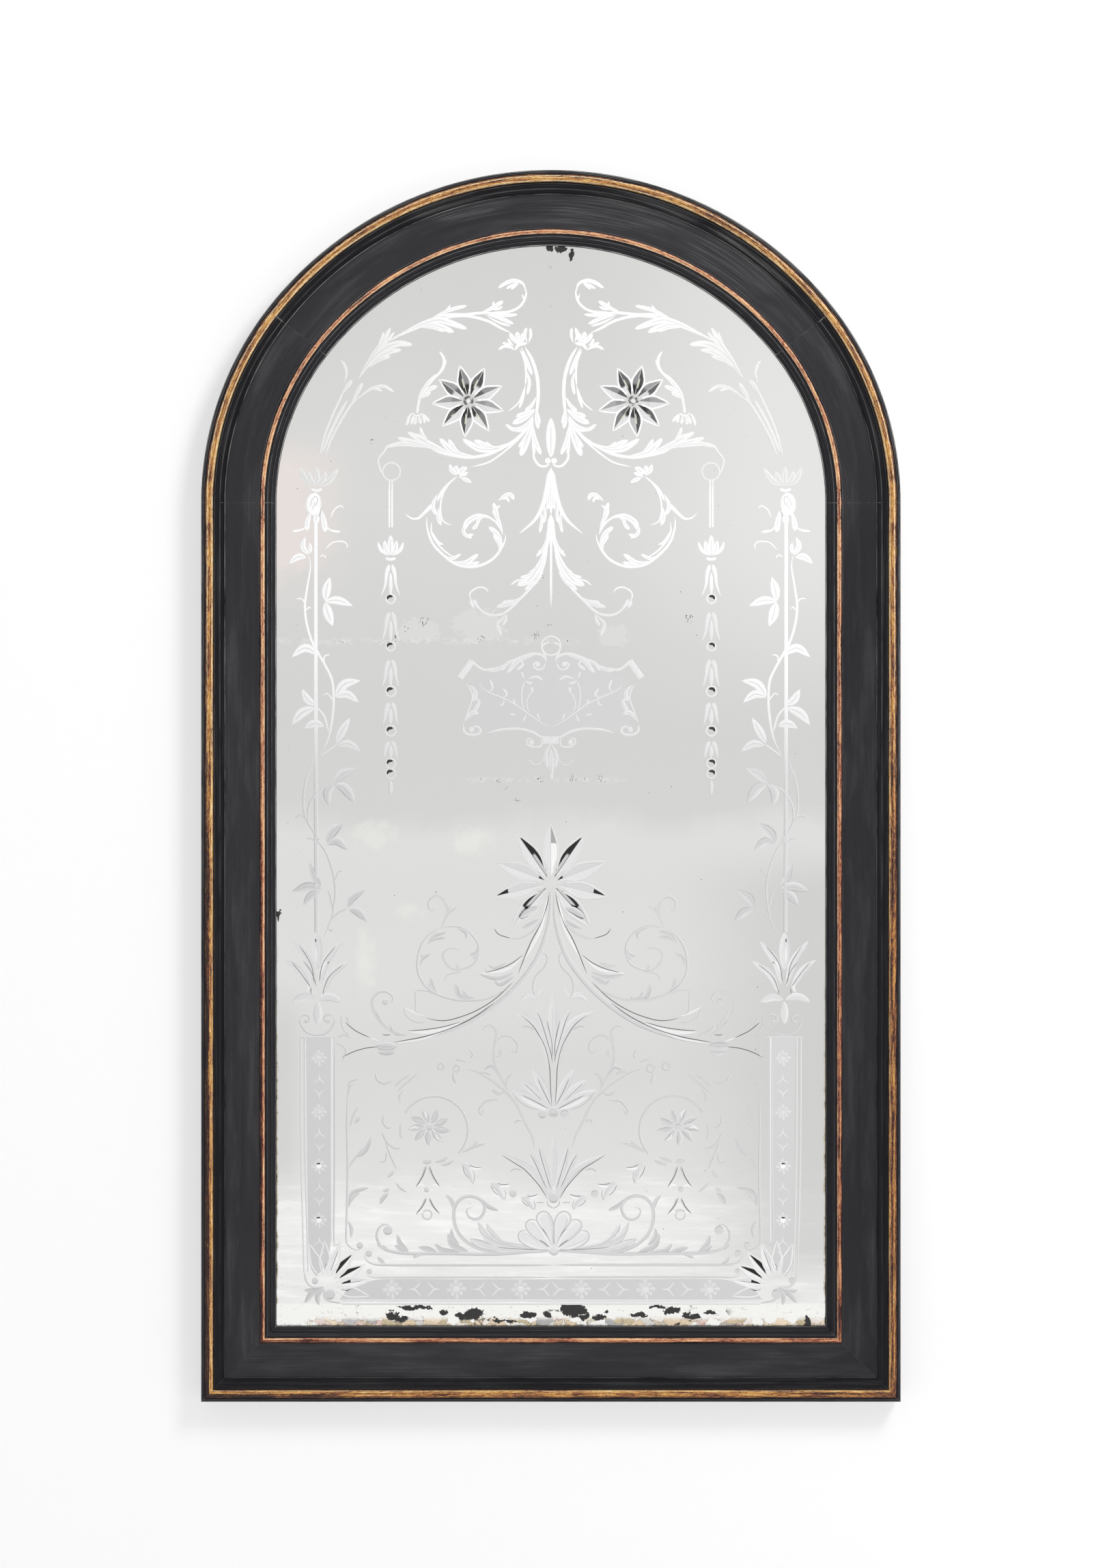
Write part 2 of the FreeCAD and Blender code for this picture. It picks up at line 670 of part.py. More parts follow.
# The hangers on the back: a plate with a lug, and a ring whose bar turns in the lug
hanger = new_body("hanger")
strap = add_sketch(hanger, "XZ_Plane", "Strap")
END = "hanger_height / 2"
STRAIGHT = f"(hanger_length / 2 - {END})"
end_bow = f"-{square_round(END)}"
strap_corners = [
    (f"-{STRAIGHT}", f"-{END}", None), (STRAIGHT, f"-{END}", end_bow), ("hanger_length / 2", "0", end_bow),
    (STRAIGHT, END, None), (f"-{STRAIGHT}", END, end_bow), ("-hanger_length / 2", "0", end_bow)]
add_loop(strap, place_section(strap_corners, lambda u, v: (u, v)))
pad(hanger, strap, "hanger_thickness", back=True)
lug = add_sketch(hanger, "YZ_Plane", "Lug")
add_circle(lug, "lug_standoff", "0", "lug_diameter")
pad(hanger, lug, "lug_length", midplane=True)
eye = add_sketch(hanger, "YZ_Plane", "Eye")
add_circle(eye, "lug_standoff", "0", "ring_wire + 2 * ring_fit")
cut_through(hanger, eye)

# The ring's wire is straight through the lug, turns down at two corners and closes in a half circle
def ring_bar(name, length, across, up, axis, turn):
    """A straight stretch of the ring's wire that starts at (across, up)."""
    bar = doc.addObject("Part::Cylinder", name)
    bar.Placement.Rotation = FreeCAD.Rotation(axis, turn)
    return bind(bar, Radius="ring_wire / 2", Height=length, Placement__Base__x=across, Placement__Base__z=up)


def ring_bend(name, radius, across, up, start, sweep):
    """A bend of the ring's wire about (across, up), from a start angle above level through a sweep."""
    bend = doc.addObject("Part::Torus", name)
    bend.Angle1, bend.Angle2, bend.Angle3 = -180, 180, sweep
    level = FreeCAD.Rotation(FreeCAD.Vector(1, 0, 0), 90)
    bend.Placement.Rotation = FreeCAD.Rotation(FreeCAD.Vector(0, -1, 0), start) * level
    return bind(bend, Radius1=radius, Radius2="ring_wire / 2", Placement__Base__x=across, Placement__Base__z=up)


FLAT = "(ring_half_width - ring_corner)"
LOW = "(-ring_corner - ring_side)"
along_x, along_z = FreeCAD.Vector(0, 1, 0), FreeCAD.Vector(0, 0, 1)
ring_stretches = [
    ring_bar("ring_bar", f"2 * {FLAT}", f"-{FLAT}", "0", along_x, 90),
    ring_bend("right_corner", "ring_corner", FLAT, "-ring_corner", 0, 90),
    ring_bend("left_corner", "ring_corner", f"-{FLAT}", "-ring_corner", 90, 90),
    ring_bend("ring_foot", "ring_half_width", "0", LOW, 180, 180)]
ring_stretches += [ring_bar(f"{name}_side", "ring_side", f"{side} * ring_half_width", LOW, along_z, 0)
                   for name, side in SIDES.items()]
ring = doc.addObject("Part::MultiFuse", "ring")
ring.Shapes = ring_stretches

for name, side in SIDES.items():
    across = f"{side} * {HANGER_ACROSS}"
    keep(subtract(linked(hanger, f"{name}_hanger", across, "0", "-hanger_drop"), hanger_bores),
         f"{name}_hanger_plate")
    keep(linked(ring, f"{name}_ring", across, "lug_standoff", "-hanger_drop"), f"{name}_hanger_ring")
keep(group("hanger_fixings", at_screws(screw, "hanger_screw", hanger_screw_places, "hanger_thickness")),
     "hanger_screws")

bumper = turned("bumper", [
    ("0", "0", None), ("bumper_diameter / 2", "0", None),
    ("bumper_diameter / 2", "bumper_height - bumper_round", f"-{square_round('bumper_round')}"),
    ("bumper_diameter / 2 - bumper_round", "bumper_height", None), ("0", "bumper_height", None)])
keep(group("bumpers", [
    linked(bumper, f"{name}_bumper", f"{side} * ({HALF} - bumper_inset)", "0", "bumper_inset - stile_height")
    for name, side in SIDES.items()]), "wall_bumpers")

# Build, test and write every piece
doc.recompute()
failed = [obj for obj in doc.Objects if {"Invalid", "Error"} & set(obj.State)]
if failed:
    raise RuntimeError("; ".join(f"{obj.Label} in {obj.InList}: {obj.getStatusString()}" for obj in failed))
os.makedirs("parts", exist_ok=True)
for node in nodes:
    shape = Part.getShape(node)
    if shape.isNull() or not shape.isValid():
        raise RuntimeError(f"{node.Label} has no valid shape")
    shape.exportStep(f"parts/{node.Label}.step")
    box = shape.BoundBox
    print(f"{node.Label}: {len(shape.Solids)} solids, {shape.Volume:.0f} mm3, "
          f"x {box.XMin:.1f} {box.XMax:.1f}, y {box.YMin:.1f} {box.YMax:.1f}, z {box.ZMin:.1f} {box.ZMax:.1f}")
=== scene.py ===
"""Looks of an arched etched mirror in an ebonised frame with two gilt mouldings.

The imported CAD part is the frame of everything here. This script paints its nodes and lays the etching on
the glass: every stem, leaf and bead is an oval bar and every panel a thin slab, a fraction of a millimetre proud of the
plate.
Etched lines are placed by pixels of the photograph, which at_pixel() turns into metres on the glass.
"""
import math

import bmesh
import bpy
import numpy as np
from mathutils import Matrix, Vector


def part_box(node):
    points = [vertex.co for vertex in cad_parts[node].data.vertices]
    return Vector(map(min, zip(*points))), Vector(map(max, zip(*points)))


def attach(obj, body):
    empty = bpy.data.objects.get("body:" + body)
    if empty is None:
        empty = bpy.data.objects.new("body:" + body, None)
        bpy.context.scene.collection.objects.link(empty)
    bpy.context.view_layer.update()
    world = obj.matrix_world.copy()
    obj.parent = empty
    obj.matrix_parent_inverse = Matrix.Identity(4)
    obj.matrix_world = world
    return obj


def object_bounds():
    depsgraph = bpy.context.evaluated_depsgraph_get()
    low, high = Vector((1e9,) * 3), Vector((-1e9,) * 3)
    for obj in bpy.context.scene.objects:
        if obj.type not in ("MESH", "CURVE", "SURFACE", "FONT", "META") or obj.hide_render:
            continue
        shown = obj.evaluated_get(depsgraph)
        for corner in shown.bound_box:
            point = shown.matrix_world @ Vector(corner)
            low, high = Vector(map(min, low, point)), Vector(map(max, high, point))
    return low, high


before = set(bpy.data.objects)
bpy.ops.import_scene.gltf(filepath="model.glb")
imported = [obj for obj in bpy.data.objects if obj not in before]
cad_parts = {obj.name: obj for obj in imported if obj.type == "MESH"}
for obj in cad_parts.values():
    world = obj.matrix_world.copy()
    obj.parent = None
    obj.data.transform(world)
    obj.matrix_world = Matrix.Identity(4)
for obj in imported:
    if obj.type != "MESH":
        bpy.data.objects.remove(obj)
cad_low, cad_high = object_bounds()

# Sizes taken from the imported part, in metres.
GLASS_LOW, GLASS_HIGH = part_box("mirror_plate")
GLASS_FACE = GLASS_LOW.y
HALF_WIDTH = cad_high.x
FOOT = cad_low.z
SIGHT_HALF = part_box("right_stile_sight_moulding")[0].x
SIGHT_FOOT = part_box("bottom_rail_sight_moulding")[1].z

# Arcs of the arch: centre (x, z) and outer radius of the two haunches and of the crown.
HAUNCH_RADIUS = 0.527
HAUNCH_CENTRE = (HALF_WIDTH - HAUNCH_RADIUS, 0.0)
HAUNCH_ANGLE = math.radians(37.7)
CROWN_CENTRE_Z = -0.04405
CROWN_RADIUS = cad_high.z - CROWN_CENTRE_Z

# The photograph: metres to a pixel, the pixel of the axis at the springing line, and the image's size.
PIXEL = 0.001139
AXIS_PX, SPRING_PX = 806.7, 735.0
IMAGE_WIDTH, IMAGE_HEIGHT = 1602, 2296
CAMERA_DISTANCE = 7.0
SENSOR = 36.0

# The wheel-cut flowers: centre in metres, reach, half width, petals, spread and lean in degrees.
STAR = {"centre": (-0.138, 0.171), "reach": 0.056, "half": 0.0085, "petals": 9, "spread": 360.0, "lean": -14.0}
HEART = {"centre": (0.0, -0.636), "reach": 0.094, "half": 0.0105, "petals": 9, "spread": 276.0, "lean": 0.0}
FAN = {"centre": (-0.378, -1.311), "reach": 0.071, "half": 0.0065, "petals": 7, "spread": 124.0, "lean": 41.0}

# Relief of the etching and the roundness of its bars.
PROUD = 0.0005
SLAB_PROUD = 0.0001
SUNK = 0.0002
RING_SIDES = 8
WHITE_CUT, PLAIN_FROST, DARK_CUT = 1.0, 0.0, -1.0


# Shader expressions.

class Wire:
    """A shader socket in a Python expression: each operator adds the Math node that it stands for."""

    def __init__(self, tree, socket=None):
        self.tree = tree
        self.socket = socket

    def make(self, kind, settings=None, values=None, output=0):
        """A new node: its settings come first, then the values or links of its sockets."""
        node = self.tree.nodes.new(kind)
        for key, value in (settings or {}).items():
            if key == "stops":
                set_stops(node.color_ramp, value)
            elif key == "steps":
                set_stops(node.color_ramp, [(i / len(value), tint(v, v, v)) for i, v in enumerate(value)])
                node.color_ramp.interpolation = "CONSTANT"
            else:
                setattr(node, key, value)
        for key, value in (values or {}).items():
            socket = node.inputs[key]
            if isinstance(value, Wire):
                self.tree.links.new(value.socket, socket)
            elif isinstance(value, tuple) and len(value) == 3 and socket.type == "RGBA":
                socket.default_value = (*value, 1.0)
            else:
                socket.default_value = value
        return Wire(self.tree, node.outputs[output])

    def math(self, operation, first, second=None, third=None):
        given = {i: v for i, v in enumerate((first, second, third)) if v is not None}
        return self.make("ShaderNodeMath", {"operation": operation}, given)

    def __add__(self, other):
        return self.math("ADD", self, other)

    def __radd__(self, other):
        return self.math("ADD", other, self)

    def __sub__(self, other):
        return self.math("SUBTRACT", self, other)

    def __rsub__(self, other):
        return self.math("SUBTRACT", other, self)

    def __mul__(self, other):
        return self.math("MULTIPLY", self, other)

    def __rmul__(self, other):
        return self.math("MULTIPLY", other, self)

    def __truediv__(self, other):
        return self.math("DIVIDE", self, other)

    def __rtruediv__(self, other):
        return self.math("DIVIDE", other, self)

    def __pow__(self, other):
        return self.math("POWER", self, other)

    def __neg__(self):
        return self.math("MULTIPLY", self, -1.0)

    def __abs__(self):
        return self.math("ABSOLUTE", self)

    def least(self, other):
        return self.math("MINIMUM", self, other)

    def most(self, other):
        return self.math("MAXIMUM", self, other)

    def step(self, low, high):
        """0 below low and 1 above high, with a smooth slope between; low above high turns it round."""
        values = {"Value": self, "From Min": low, "From Max": high}
        if low > high:
            values = {"Value": self, "From Min": high, "From Max": low, "To Min": 1.0, "To Max": 0.0}
        return self.make("ShaderNodeMapRange", {"interpolation_type": "SMOOTHSTEP"}, values)

    def near(self, middle, reach):
        """1 at middle, falling to 0 at reach either side."""
        return (abs(self - middle)).step(reach, 0.0)

    def between(self, low, high, soft):
        """1 from low to high, with slopes of width soft outside them."""
        return self.step(low - soft, low) * self.step(high + soft, high)

    def place(self):
        """Object coordinates x, y and z, in metres."""
        where = self.make("ShaderNodeTexCoord", output="Object")
        return [self.make("ShaderNodeSeparateXYZ", {}, {"Vector": where}, i) for i in range(3)]

    def facing(self):
        """The x, y and z parts of the surface normal."""
        normal = self.make("ShaderNodeNewGeometry", output="Normal")
        return [self.make("ShaderNodeSeparateXYZ", {}, {"Vector": normal}, i) for i in range(3)]

    def vector(self, x, y, z):
        return self.make("ShaderNodeCombineXYZ", {}, {"X": x, "Y": y, "Z": z})

    def noise(self, where, scale, detail=3.0, rough=0.55):
        values = {"Vector": where, "Scale": scale, "Detail": detail, "Roughness": rough}
        return self.make("ShaderNodeTexNoise", {"noise_dimensions": "3D"}, values, "Fac")

    def cells(self, where, scale, feature="F1"):
        values = {"Vector": where, "Scale": scale}
        return self.make("ShaderNodeTexVoronoi", {"feature": feature}, values, "Distance")

    def ramp(self, factor, stops):
        return self.make("ShaderNodeValToRGB", {"stops": stops}, {"Fac": factor}, "Color")

    def pick(self, index, tones):
        """The grey of a whole-number index, out of a row of tones."""
        return self.make("ShaderNodeValToRGB", {"steps": tones}, {"Fac": (index + 0.5) / len(tones)}, "Color")

    def mix(self, factor, first, second):
        values = {0: factor, 6: first, 7: second}
        return self.make("ShaderNodeMix", {"data_type": "RGBA", "clamp_factor": True}, values, 2)

    def grey(self, value):
        return self.make("ShaderNodeCombineColor", {}, {"Red": value, "Green": value, "Blue": value})

    def bump(self, height, distance, strength=1.0):
        values = {"Height": height, "Distance": distance, "Strength": strength}
        return self.make("ShaderNodeBump", {}, values, "Normal")


def set_stops(ramp, stops):
    """Gives a colour ramp its stops, a list of (place, colour)."""
    while len(ramp.elements) < len(stops):
        ramp.elements.new(1.0)
    for element, (where, colour) in zip(ramp.elements, stops):
        element.position = where
        element.color = (*colour, 1.0)


def tint(red, green, blue):
    """A colour written as it looks on a screen, 0 to 255, as the linear light that shaders use."""
    shares = np.array([red, green, blue]) / 255.0
    linear = np.where(shares < 0.04045, shares / 12.92, ((shares + 0.055) / 1.055) ** 2.4)
    return tuple(float(v) for v in linear)


def material(name, paint, *given):
    """A Principled material whose socket values and links are what paint(start, *given) returns."""
    made = bpy.data.materials.new(name)
    made.use_nodes = True
    tree = made.node_tree
    shader = next(n for n in tree.nodes if n.type == "BSDF_PRINCIPLED")
    for socket, value in paint(Wire(tree), *given).items():
        if isinstance(value, Wire):
            tree.links.new(value.socket, shader.inputs[socket])
        elif isinstance(value, tuple) and len(value) == 3:
            shader.inputs[socket].default_value = (*value, 1.0)
        else:
            shader.inputs[socket].default_value = value
    return made


# Finishes of the frame.

def member_lines(start, member):
    """Two lines that follow a frame member, in metres: along its length, and in from its outer edge."""
    x, y, z = start.place()
    side = abs(x)
    if member == "stile":
        return z * -1.0, HALF_WIDTH - side, y
    if member == "rail":
        return x, z - FOOT, y
    if member == "haunch":
        across, radius = side - HAUNCH_CENTRE[0], HAUNCH_RADIUS
        rise = z - HAUNCH_CENTRE[1]
    else:
        across, radius = x, CROWN_RADIUS
        rise = z - CROWN_CENTRE_Z
    turn = start.math("ARCTAN2", rise, across)
    reach = start.math("SQRT", across * across + rise * rise)
    return turn * radius, radius - reach, y


EBONY_FRIEZE = tint(46, 46, 49)
# The cove's darker colour is painted shade in the hollow.
EBONY_COVE_SHADE = tint(20, 20, 24)
EBONY_EDGE = tint(30, 30, 35)
EBONY_SIGHT = tint(34, 34, 38)
EBONY_SHEEN = tint(74, 74, 74)
# Pale grey for dust, cracks and the painted highlights on the arrises.
EBONY_DUST_AND_GLINT = tint(196, 194, 190)
CHIP_WOOD = tint(224, 216, 202)
BARE_BACK = tint(104, 78, 54)
JOINT_WANDER = 0.004
JOINT_HALF = 0.0006
# Lines in from the outer edge, in metres: the bead's two quirks, the cove's end, the slip and the sight edge.
BEAD_IN, BEAD_OUT, COVE_OUT, SLIP_IN, SLIP_OUT, SIGHT_OUT = 0.0065, 0.0205, 0.0385, 0.098, 0.106, 0.1245
# Painted highlights on the arrises that catch the light: inset, half width and strength.
ARRIS_HIGHLIGHTS = (
    (0.0016, 0.0008, 0.65), (0.0044, 0.0006, 0.30), (0.0225, 0.0006, 0.24), (0.0310, 0.0014, 0.12), (0.0392, 0.0009, 0.55),
    (0.0962, 0.0006, 0.30), (0.1105, 0.0008, 0.30), (0.1172, 0.0006, 0.26), (0.1235, 0.0009, 0.85))
# Painted shade in the quirks and at the steps of the moulding: inset and half width.
QUIRK_SHADE_LINES = ((0.0065, 0.0010), (0.0212, 0.0014), (0.0374, 0.0012), (0.0972, 0.0012), (0.1068, 0.0010), (0.1160, 0.0010))
# Patches of painted sheen where the brush marks show: pixel centre and reach.
SHEEN_PATCHES_PX = ((1090, 385, 115, 60), (930, 305, 150, 34), (640, 300, 120, 26))


def ebonised_wood(start, member):
    """Black stain rubbed with shellac: brush lines along the member with painted sheen, painted shade in the cove, the
    quirks and low on the right, dust, painted highlights on the arrises, small chips.
    """
    along, inset, depth = member_lines(start, member)
    x, y, z = start.place()
    brushed = start.noise(start.vector(along * 6.0, inset * 520.0, depth * 520.0), 1.0, 4.0, 0.62)
    broad = start.noise(start.vector(along * 2.4, inset * 26.0, depth * 26.0), 1.0, 3.0)
    blotch = start.noise(start.vector(along * 7.0, inset * 40.0, depth * 40.0), 1.0, 4.0, 0.6)
    fine = start.noise(start.vector(x, y, z), 900.0, 2.0)
    colour = start.mix(inset.step(COVE_OUT, COVE_OUT + 0.004), EBONY_COVE_SHADE, EBONY_FRIEZE)
    colour = start.mix(inset.step(BEAD_OUT, BEAD_IN), colour, EBONY_EDGE)
    colour = start.mix(inset.step(SLIP_IN, SLIP_OUT), colour, EBONY_SIGHT)
    colour = start.mix((brushed - 0.5) * 1.2 + (blotch - 0.5) * 0.8, colour, EBONY_SHEEN)
    colour = start.mix((0.5 - broad) * 1.4, colour, tint(22, 22, 26))
    shaded = x.step(0.30, 0.52) * z.step(0.15, -0.1) * inset.step(COVE_OUT, COVE_OUT + 0.006)
    colour = start.mix(shaded * 0.35, colour, tint(18, 17, 24))
    # Painted sheen in patches along the brush marks.
    for column, row, reach, height in SHEEN_PATCHES_PX:
        patch = oval(x, z, column, row, reach, height, blotch, 0.5).step(0.0, 0.7)
        colour = start.mix(patch * brushed.step(0.42, 0.7) * 0.5, colour, tint(96, 95, 95))
    lit = start.noise(start.vector(along * 14.0, inset * 90.0, 0.0), 1.0, 3.0, 0.7)
    # Painted highlights along the arrises, stronger higher up the frame.
    upper = 0.34 + 0.66 * z.step(-1.05, -0.15)
    for at, half, strength in ARRIS_HIGHLIGHTS:
        colour = start.mix(inset.near(at, half) * lit.step(0.25, 0.65) * upper * strength, colour, EBONY_DUST_AND_GLINT)
    # Painted shade along the quirks and steps.
    for at, half in QUIRK_SHADE_LINES:
        colour = start.mix(inset.near(at, half) * 0.8, colour, tint(6, 6, 8))
    grit = start.cells(start.vector(x, y, z), 210.0)
    dust = grit.step(0.075, 0.035) * blotch.step(0.50, 0.64)
    colour = start.mix(dust * 0.4, colour, EBONY_DUST_AND_GLINT)
    ragged = start.noise(start.vector(x, y, z), 110.0, 4.0, 0.7)
    chip = inset.near(0.0, 0.0045) * ragged.step(0.69, 0.72)
    colour = start.mix(chip, colour, CHIP_WOOD)
    crack = joint_crack(start, member, along, inset)
    open_joint = 0.6 - 0.45 * inset.between(COVE_OUT, SLIP_IN, 0.004)
    colour = start.mix(crack * lit.step(0.3, 0.6) * open_joint, colour, EBONY_DUST_AND_GLINT)
    behind = start.facing()[1].step(0.5, 0.8)
    bare = start.mix(brushed.step(0.3, 0.7), BARE_BACK, tint(66, 46, 31))
    bare = start.mix(blotch.step(0.5, 0.7) * 0.5, bare, tint(52, 40, 31))
    colour = start.mix(behind, colour, bare)
    rough = 0.46 + 0.16 * broad - 0.12 * brushed.step(0.4, 0.8) + 0.2 * dust + 0.2 * behind
    height = brushed * 0.5 + fine * 0.2 - chip * 2.5 - crack * 3.0
    sheen = inset.between(COVE_OUT, SLIP_IN, 0.004) * blotch.step(0.4, 0.7) * 0.3 * (1.0 - behind)
    return {"Base Color": colour, "Roughness": rough, "Normal": start.bump(height, 0.0004, 0.6),
            "Coat Weight": sheen, "Coat Roughness": 0.3, "Specular IOR Level": 0.14}


def joint_crack(start, member, along, inset):
    """A hairline that wanders where two members of the frame meet."""
    wander = start.noise(start.vector(inset * 60.0, 0.0, 0.0), 1.0, 2.0) - 0.5
    if member == "stile":
        return (along + wander * JOINT_WANDER).near(0.0, JOINT_HALF)
    if member == "haunch":
        end = HAUNCH_ANGLE * HAUNCH_RADIUS
        return (along + wander * JOINT_WANDER).near(end, JOINT_HALF)
    if member == "crown":
        half = (0.5 * math.pi - HAUNCH_ANGLE) * CROWN_RADIUS
        from_top = abs(along - 0.5 * math.pi * CROWN_RADIUS)
        return (from_top + wander * JOINT_WANDER).near(half, JOINT_HALF)
    x = abs(along)
    return (x - (HALF_WIDTH - inset)).near(0.0, JOINT_HALF)


GILT_STOPS = [
    (0.20, tint(40, 27, 26)), (0.32, tint(92, 55, 44)), (0.41, tint(140, 86, 56)), (0.50, tint(176, 122, 68)),
    (0.60, tint(200, 150, 80)), (0.72, tint(222, 178, 104)), (0.88, tint(244, 224, 180))]
SLIP_STOPS = [
    (0.20, tint(50, 30, 28)), (0.32, tint(124, 66, 54)), (0.42, tint(170, 104, 80)), (0.52, tint(200, 140, 100)),
    (0.64, tint(220, 168, 116)), (0.76, tint(232, 192, 146)), (0.90, tint(246, 226, 196))]


def worn_gilding(start, member, stops, first, last):
    """Water gilding rubbed through to its red clay: streaks along the member, grime and painted shade in the quirks,
    painted shade on the side turned from the light, and a pale arris and cream lines of painted highlight.
    """
    along, inset, depth = member_lines(start, member)
    x, y, z = start.place()
    streak = start.noise(start.vector(along * 110.0, inset * 460.0, depth * 360.0), 1.0, 6.0, 0.72)
    patch = start.noise(start.vector(along * 15.0, inset * 120.0, depth * 60.0), 1.0, 4.0, 0.6)
    band = start.noise(start.vector(along * 13.0, inset * 640.0, depth * 420.0), 1.0, 3.0, 0.6)
    speck = start.noise(start.vector(x, y, z), 700.0, 5.0, 0.8)
    across = (inset - 0.5 * (first + last)) / (0.5 * (last - first))
    leaf = 0.48 + (streak - 0.5) * 0.9 + (patch - 0.5) * 1.1 + (speck - 0.5) * 1.1 + (band - 0.5) * 1.3
    leaf = leaf - across.step(-0.45, -0.95) * 0.22 - across.near(-0.55, 0.25) * patch.step(0.4, 0.6) * 0.2
    # Painted shade on the bead's side turned from the light: its outer half on the left stile, its inner half on the
    # right.
    left_outer_shade = x.step(-0.3, -0.5) * z.step(-0.35, -0.9) * across.between(-0.72, 0.0, 0.12)
    right_inner_shade = x.step(0.3, 0.5) * z.step(-0.1, -0.5) * across.between(0.0, 0.6, 0.2)
    leaf = leaf - left_outer_shade * 0.30 - right_inner_shade * 0.16 + across.near(0.55, 0.4) * 0.06
    leaf = leaf - across.near(0.2, 0.24) * patch.step(0.50, 0.64) * 0.3
    colour = start.ramp(leaf, stops)
    # Painted highlight: cream lines along the bead and at its arris, stronger higher up.
    lit = 0.4 + 0.6 * z.step(-0.9, -0.1)
    pale = across.near(0.72, 0.22).most(across.near(-0.42, 0.2) * z.step(-0.7, 0.0)) * streak.step(0.34, 0.58) * lit
    colour = start.mix(pale * 0.85, colour, tint(250, 236, 200))
    # Grime specks, and painted shade in the quirks at both edges of the bead.
    quirk = (abs(across)).step(0.9, 1.02)
    dirt_and_quirk_shade = ((speck * 0.6 + streak * 0.4).step(0.40, 0.31)).most(quirk * 0.8)
    colour = start.mix(dirt_and_quirk_shade * 0.85, colour, tint(36, 26, 24))
    gold = leaf.step(0.40, 0.60)
    return {"Base Color": colour, "Metallic": gold * 0.4, "Roughness": 0.58 - 0.22 * gold,
            "Specular IOR Level": 0.3,
            "Normal": start.bump(streak * 0.7 + speck * 0.3 - dirt_and_quirk_shade * 0.4, 0.0006, 0.7)}


# Finishes of the glass.

# Painted reflection of the room, row by row down the plate: pixel row and grey.
REFLECTION_ROWS_PX = (
    (1940, 232), (1860, 236), (1775, 238), (1715, 225), (1640, 221), (1560, 218), (1420, 223), (1310, 221), (1225, 222),
    (1185, 212), (1060, 211), (960, 212), (850, 214), (740, 217), (620, 216), (500, 213), (380, 211))
MILKY_PX = ((690, 1232, 34, 22), (600, 1336, 22, 13), (545, 1222, 34, 20), (535, 1405, 16, 44))
FOXING_LINES_PX = ((938, 5.0, 390, 830), (1142, 4.0, 690, 900))
FOXING_SPOTS_PX = (
    (593, 920, 5), (578, 932, 4), (752, 935, 3), (785, 929, 8), (789, 887, 3), (803, 915, 5), (790, 842, 9), (730, 1144, 5),
    (791, 1141, 6), (738, 1152, 6), (757, 1172, 5), (838, 1140, 7), (880, 1140, 6), (1010, 905, 8), (620, 910, 9), (704, 935, 6),
    (772, 1335, 10), (637, 1308, 3), (805, 388, 3), (805, 446, 3), (543, 644, 4))
FOXING_HALOS_PX = ((612, 922, 34, 20), (700, 915, 40, 26), (900, 930, 26, 16))
FLAKES_PX = (
    (572, 1930, 12, 6), (606, 1917, 26, 3), (588, 1934, 12, 4), (651, 1924, 7, 4), (672, 1930, 9, 6),
    (692, 1928, 17, 8), (775, 1928, 11, 5), (838, 1922, 20, 10), (878, 1931, 13, 4), (938, 1929, 16, 4),
    (962, 1917, 12, 3), (985, 1922, 14, 5), (1012, 1930, 12, 4), (1184, 1940, 5, 12), (805, 360, 7, 5),
    (822, 362, 8, 6), (838, 370, 4, 8), (406, 1342, 3, 9), (1042, 1925, 9, 3), (740, 1938, 20, 2))


def px_x(pixel):
    """The x of a pixel column on the glass, in metres."""
    return (pixel - AXIS_PX) * PIXEL


def px_z(pixel):
    """The z of a pixel row on the glass, in metres."""
    return (SPRING_PX - pixel) * PIXEL


def share_up(row):
    """How far up the glass a pixel row lies: 0 at the sight's foot and 1 at the plate's top."""
    return (px_z(row) - SIGHT_FOOT) / (GLASS_HIGH.z - SIGHT_FOOT)


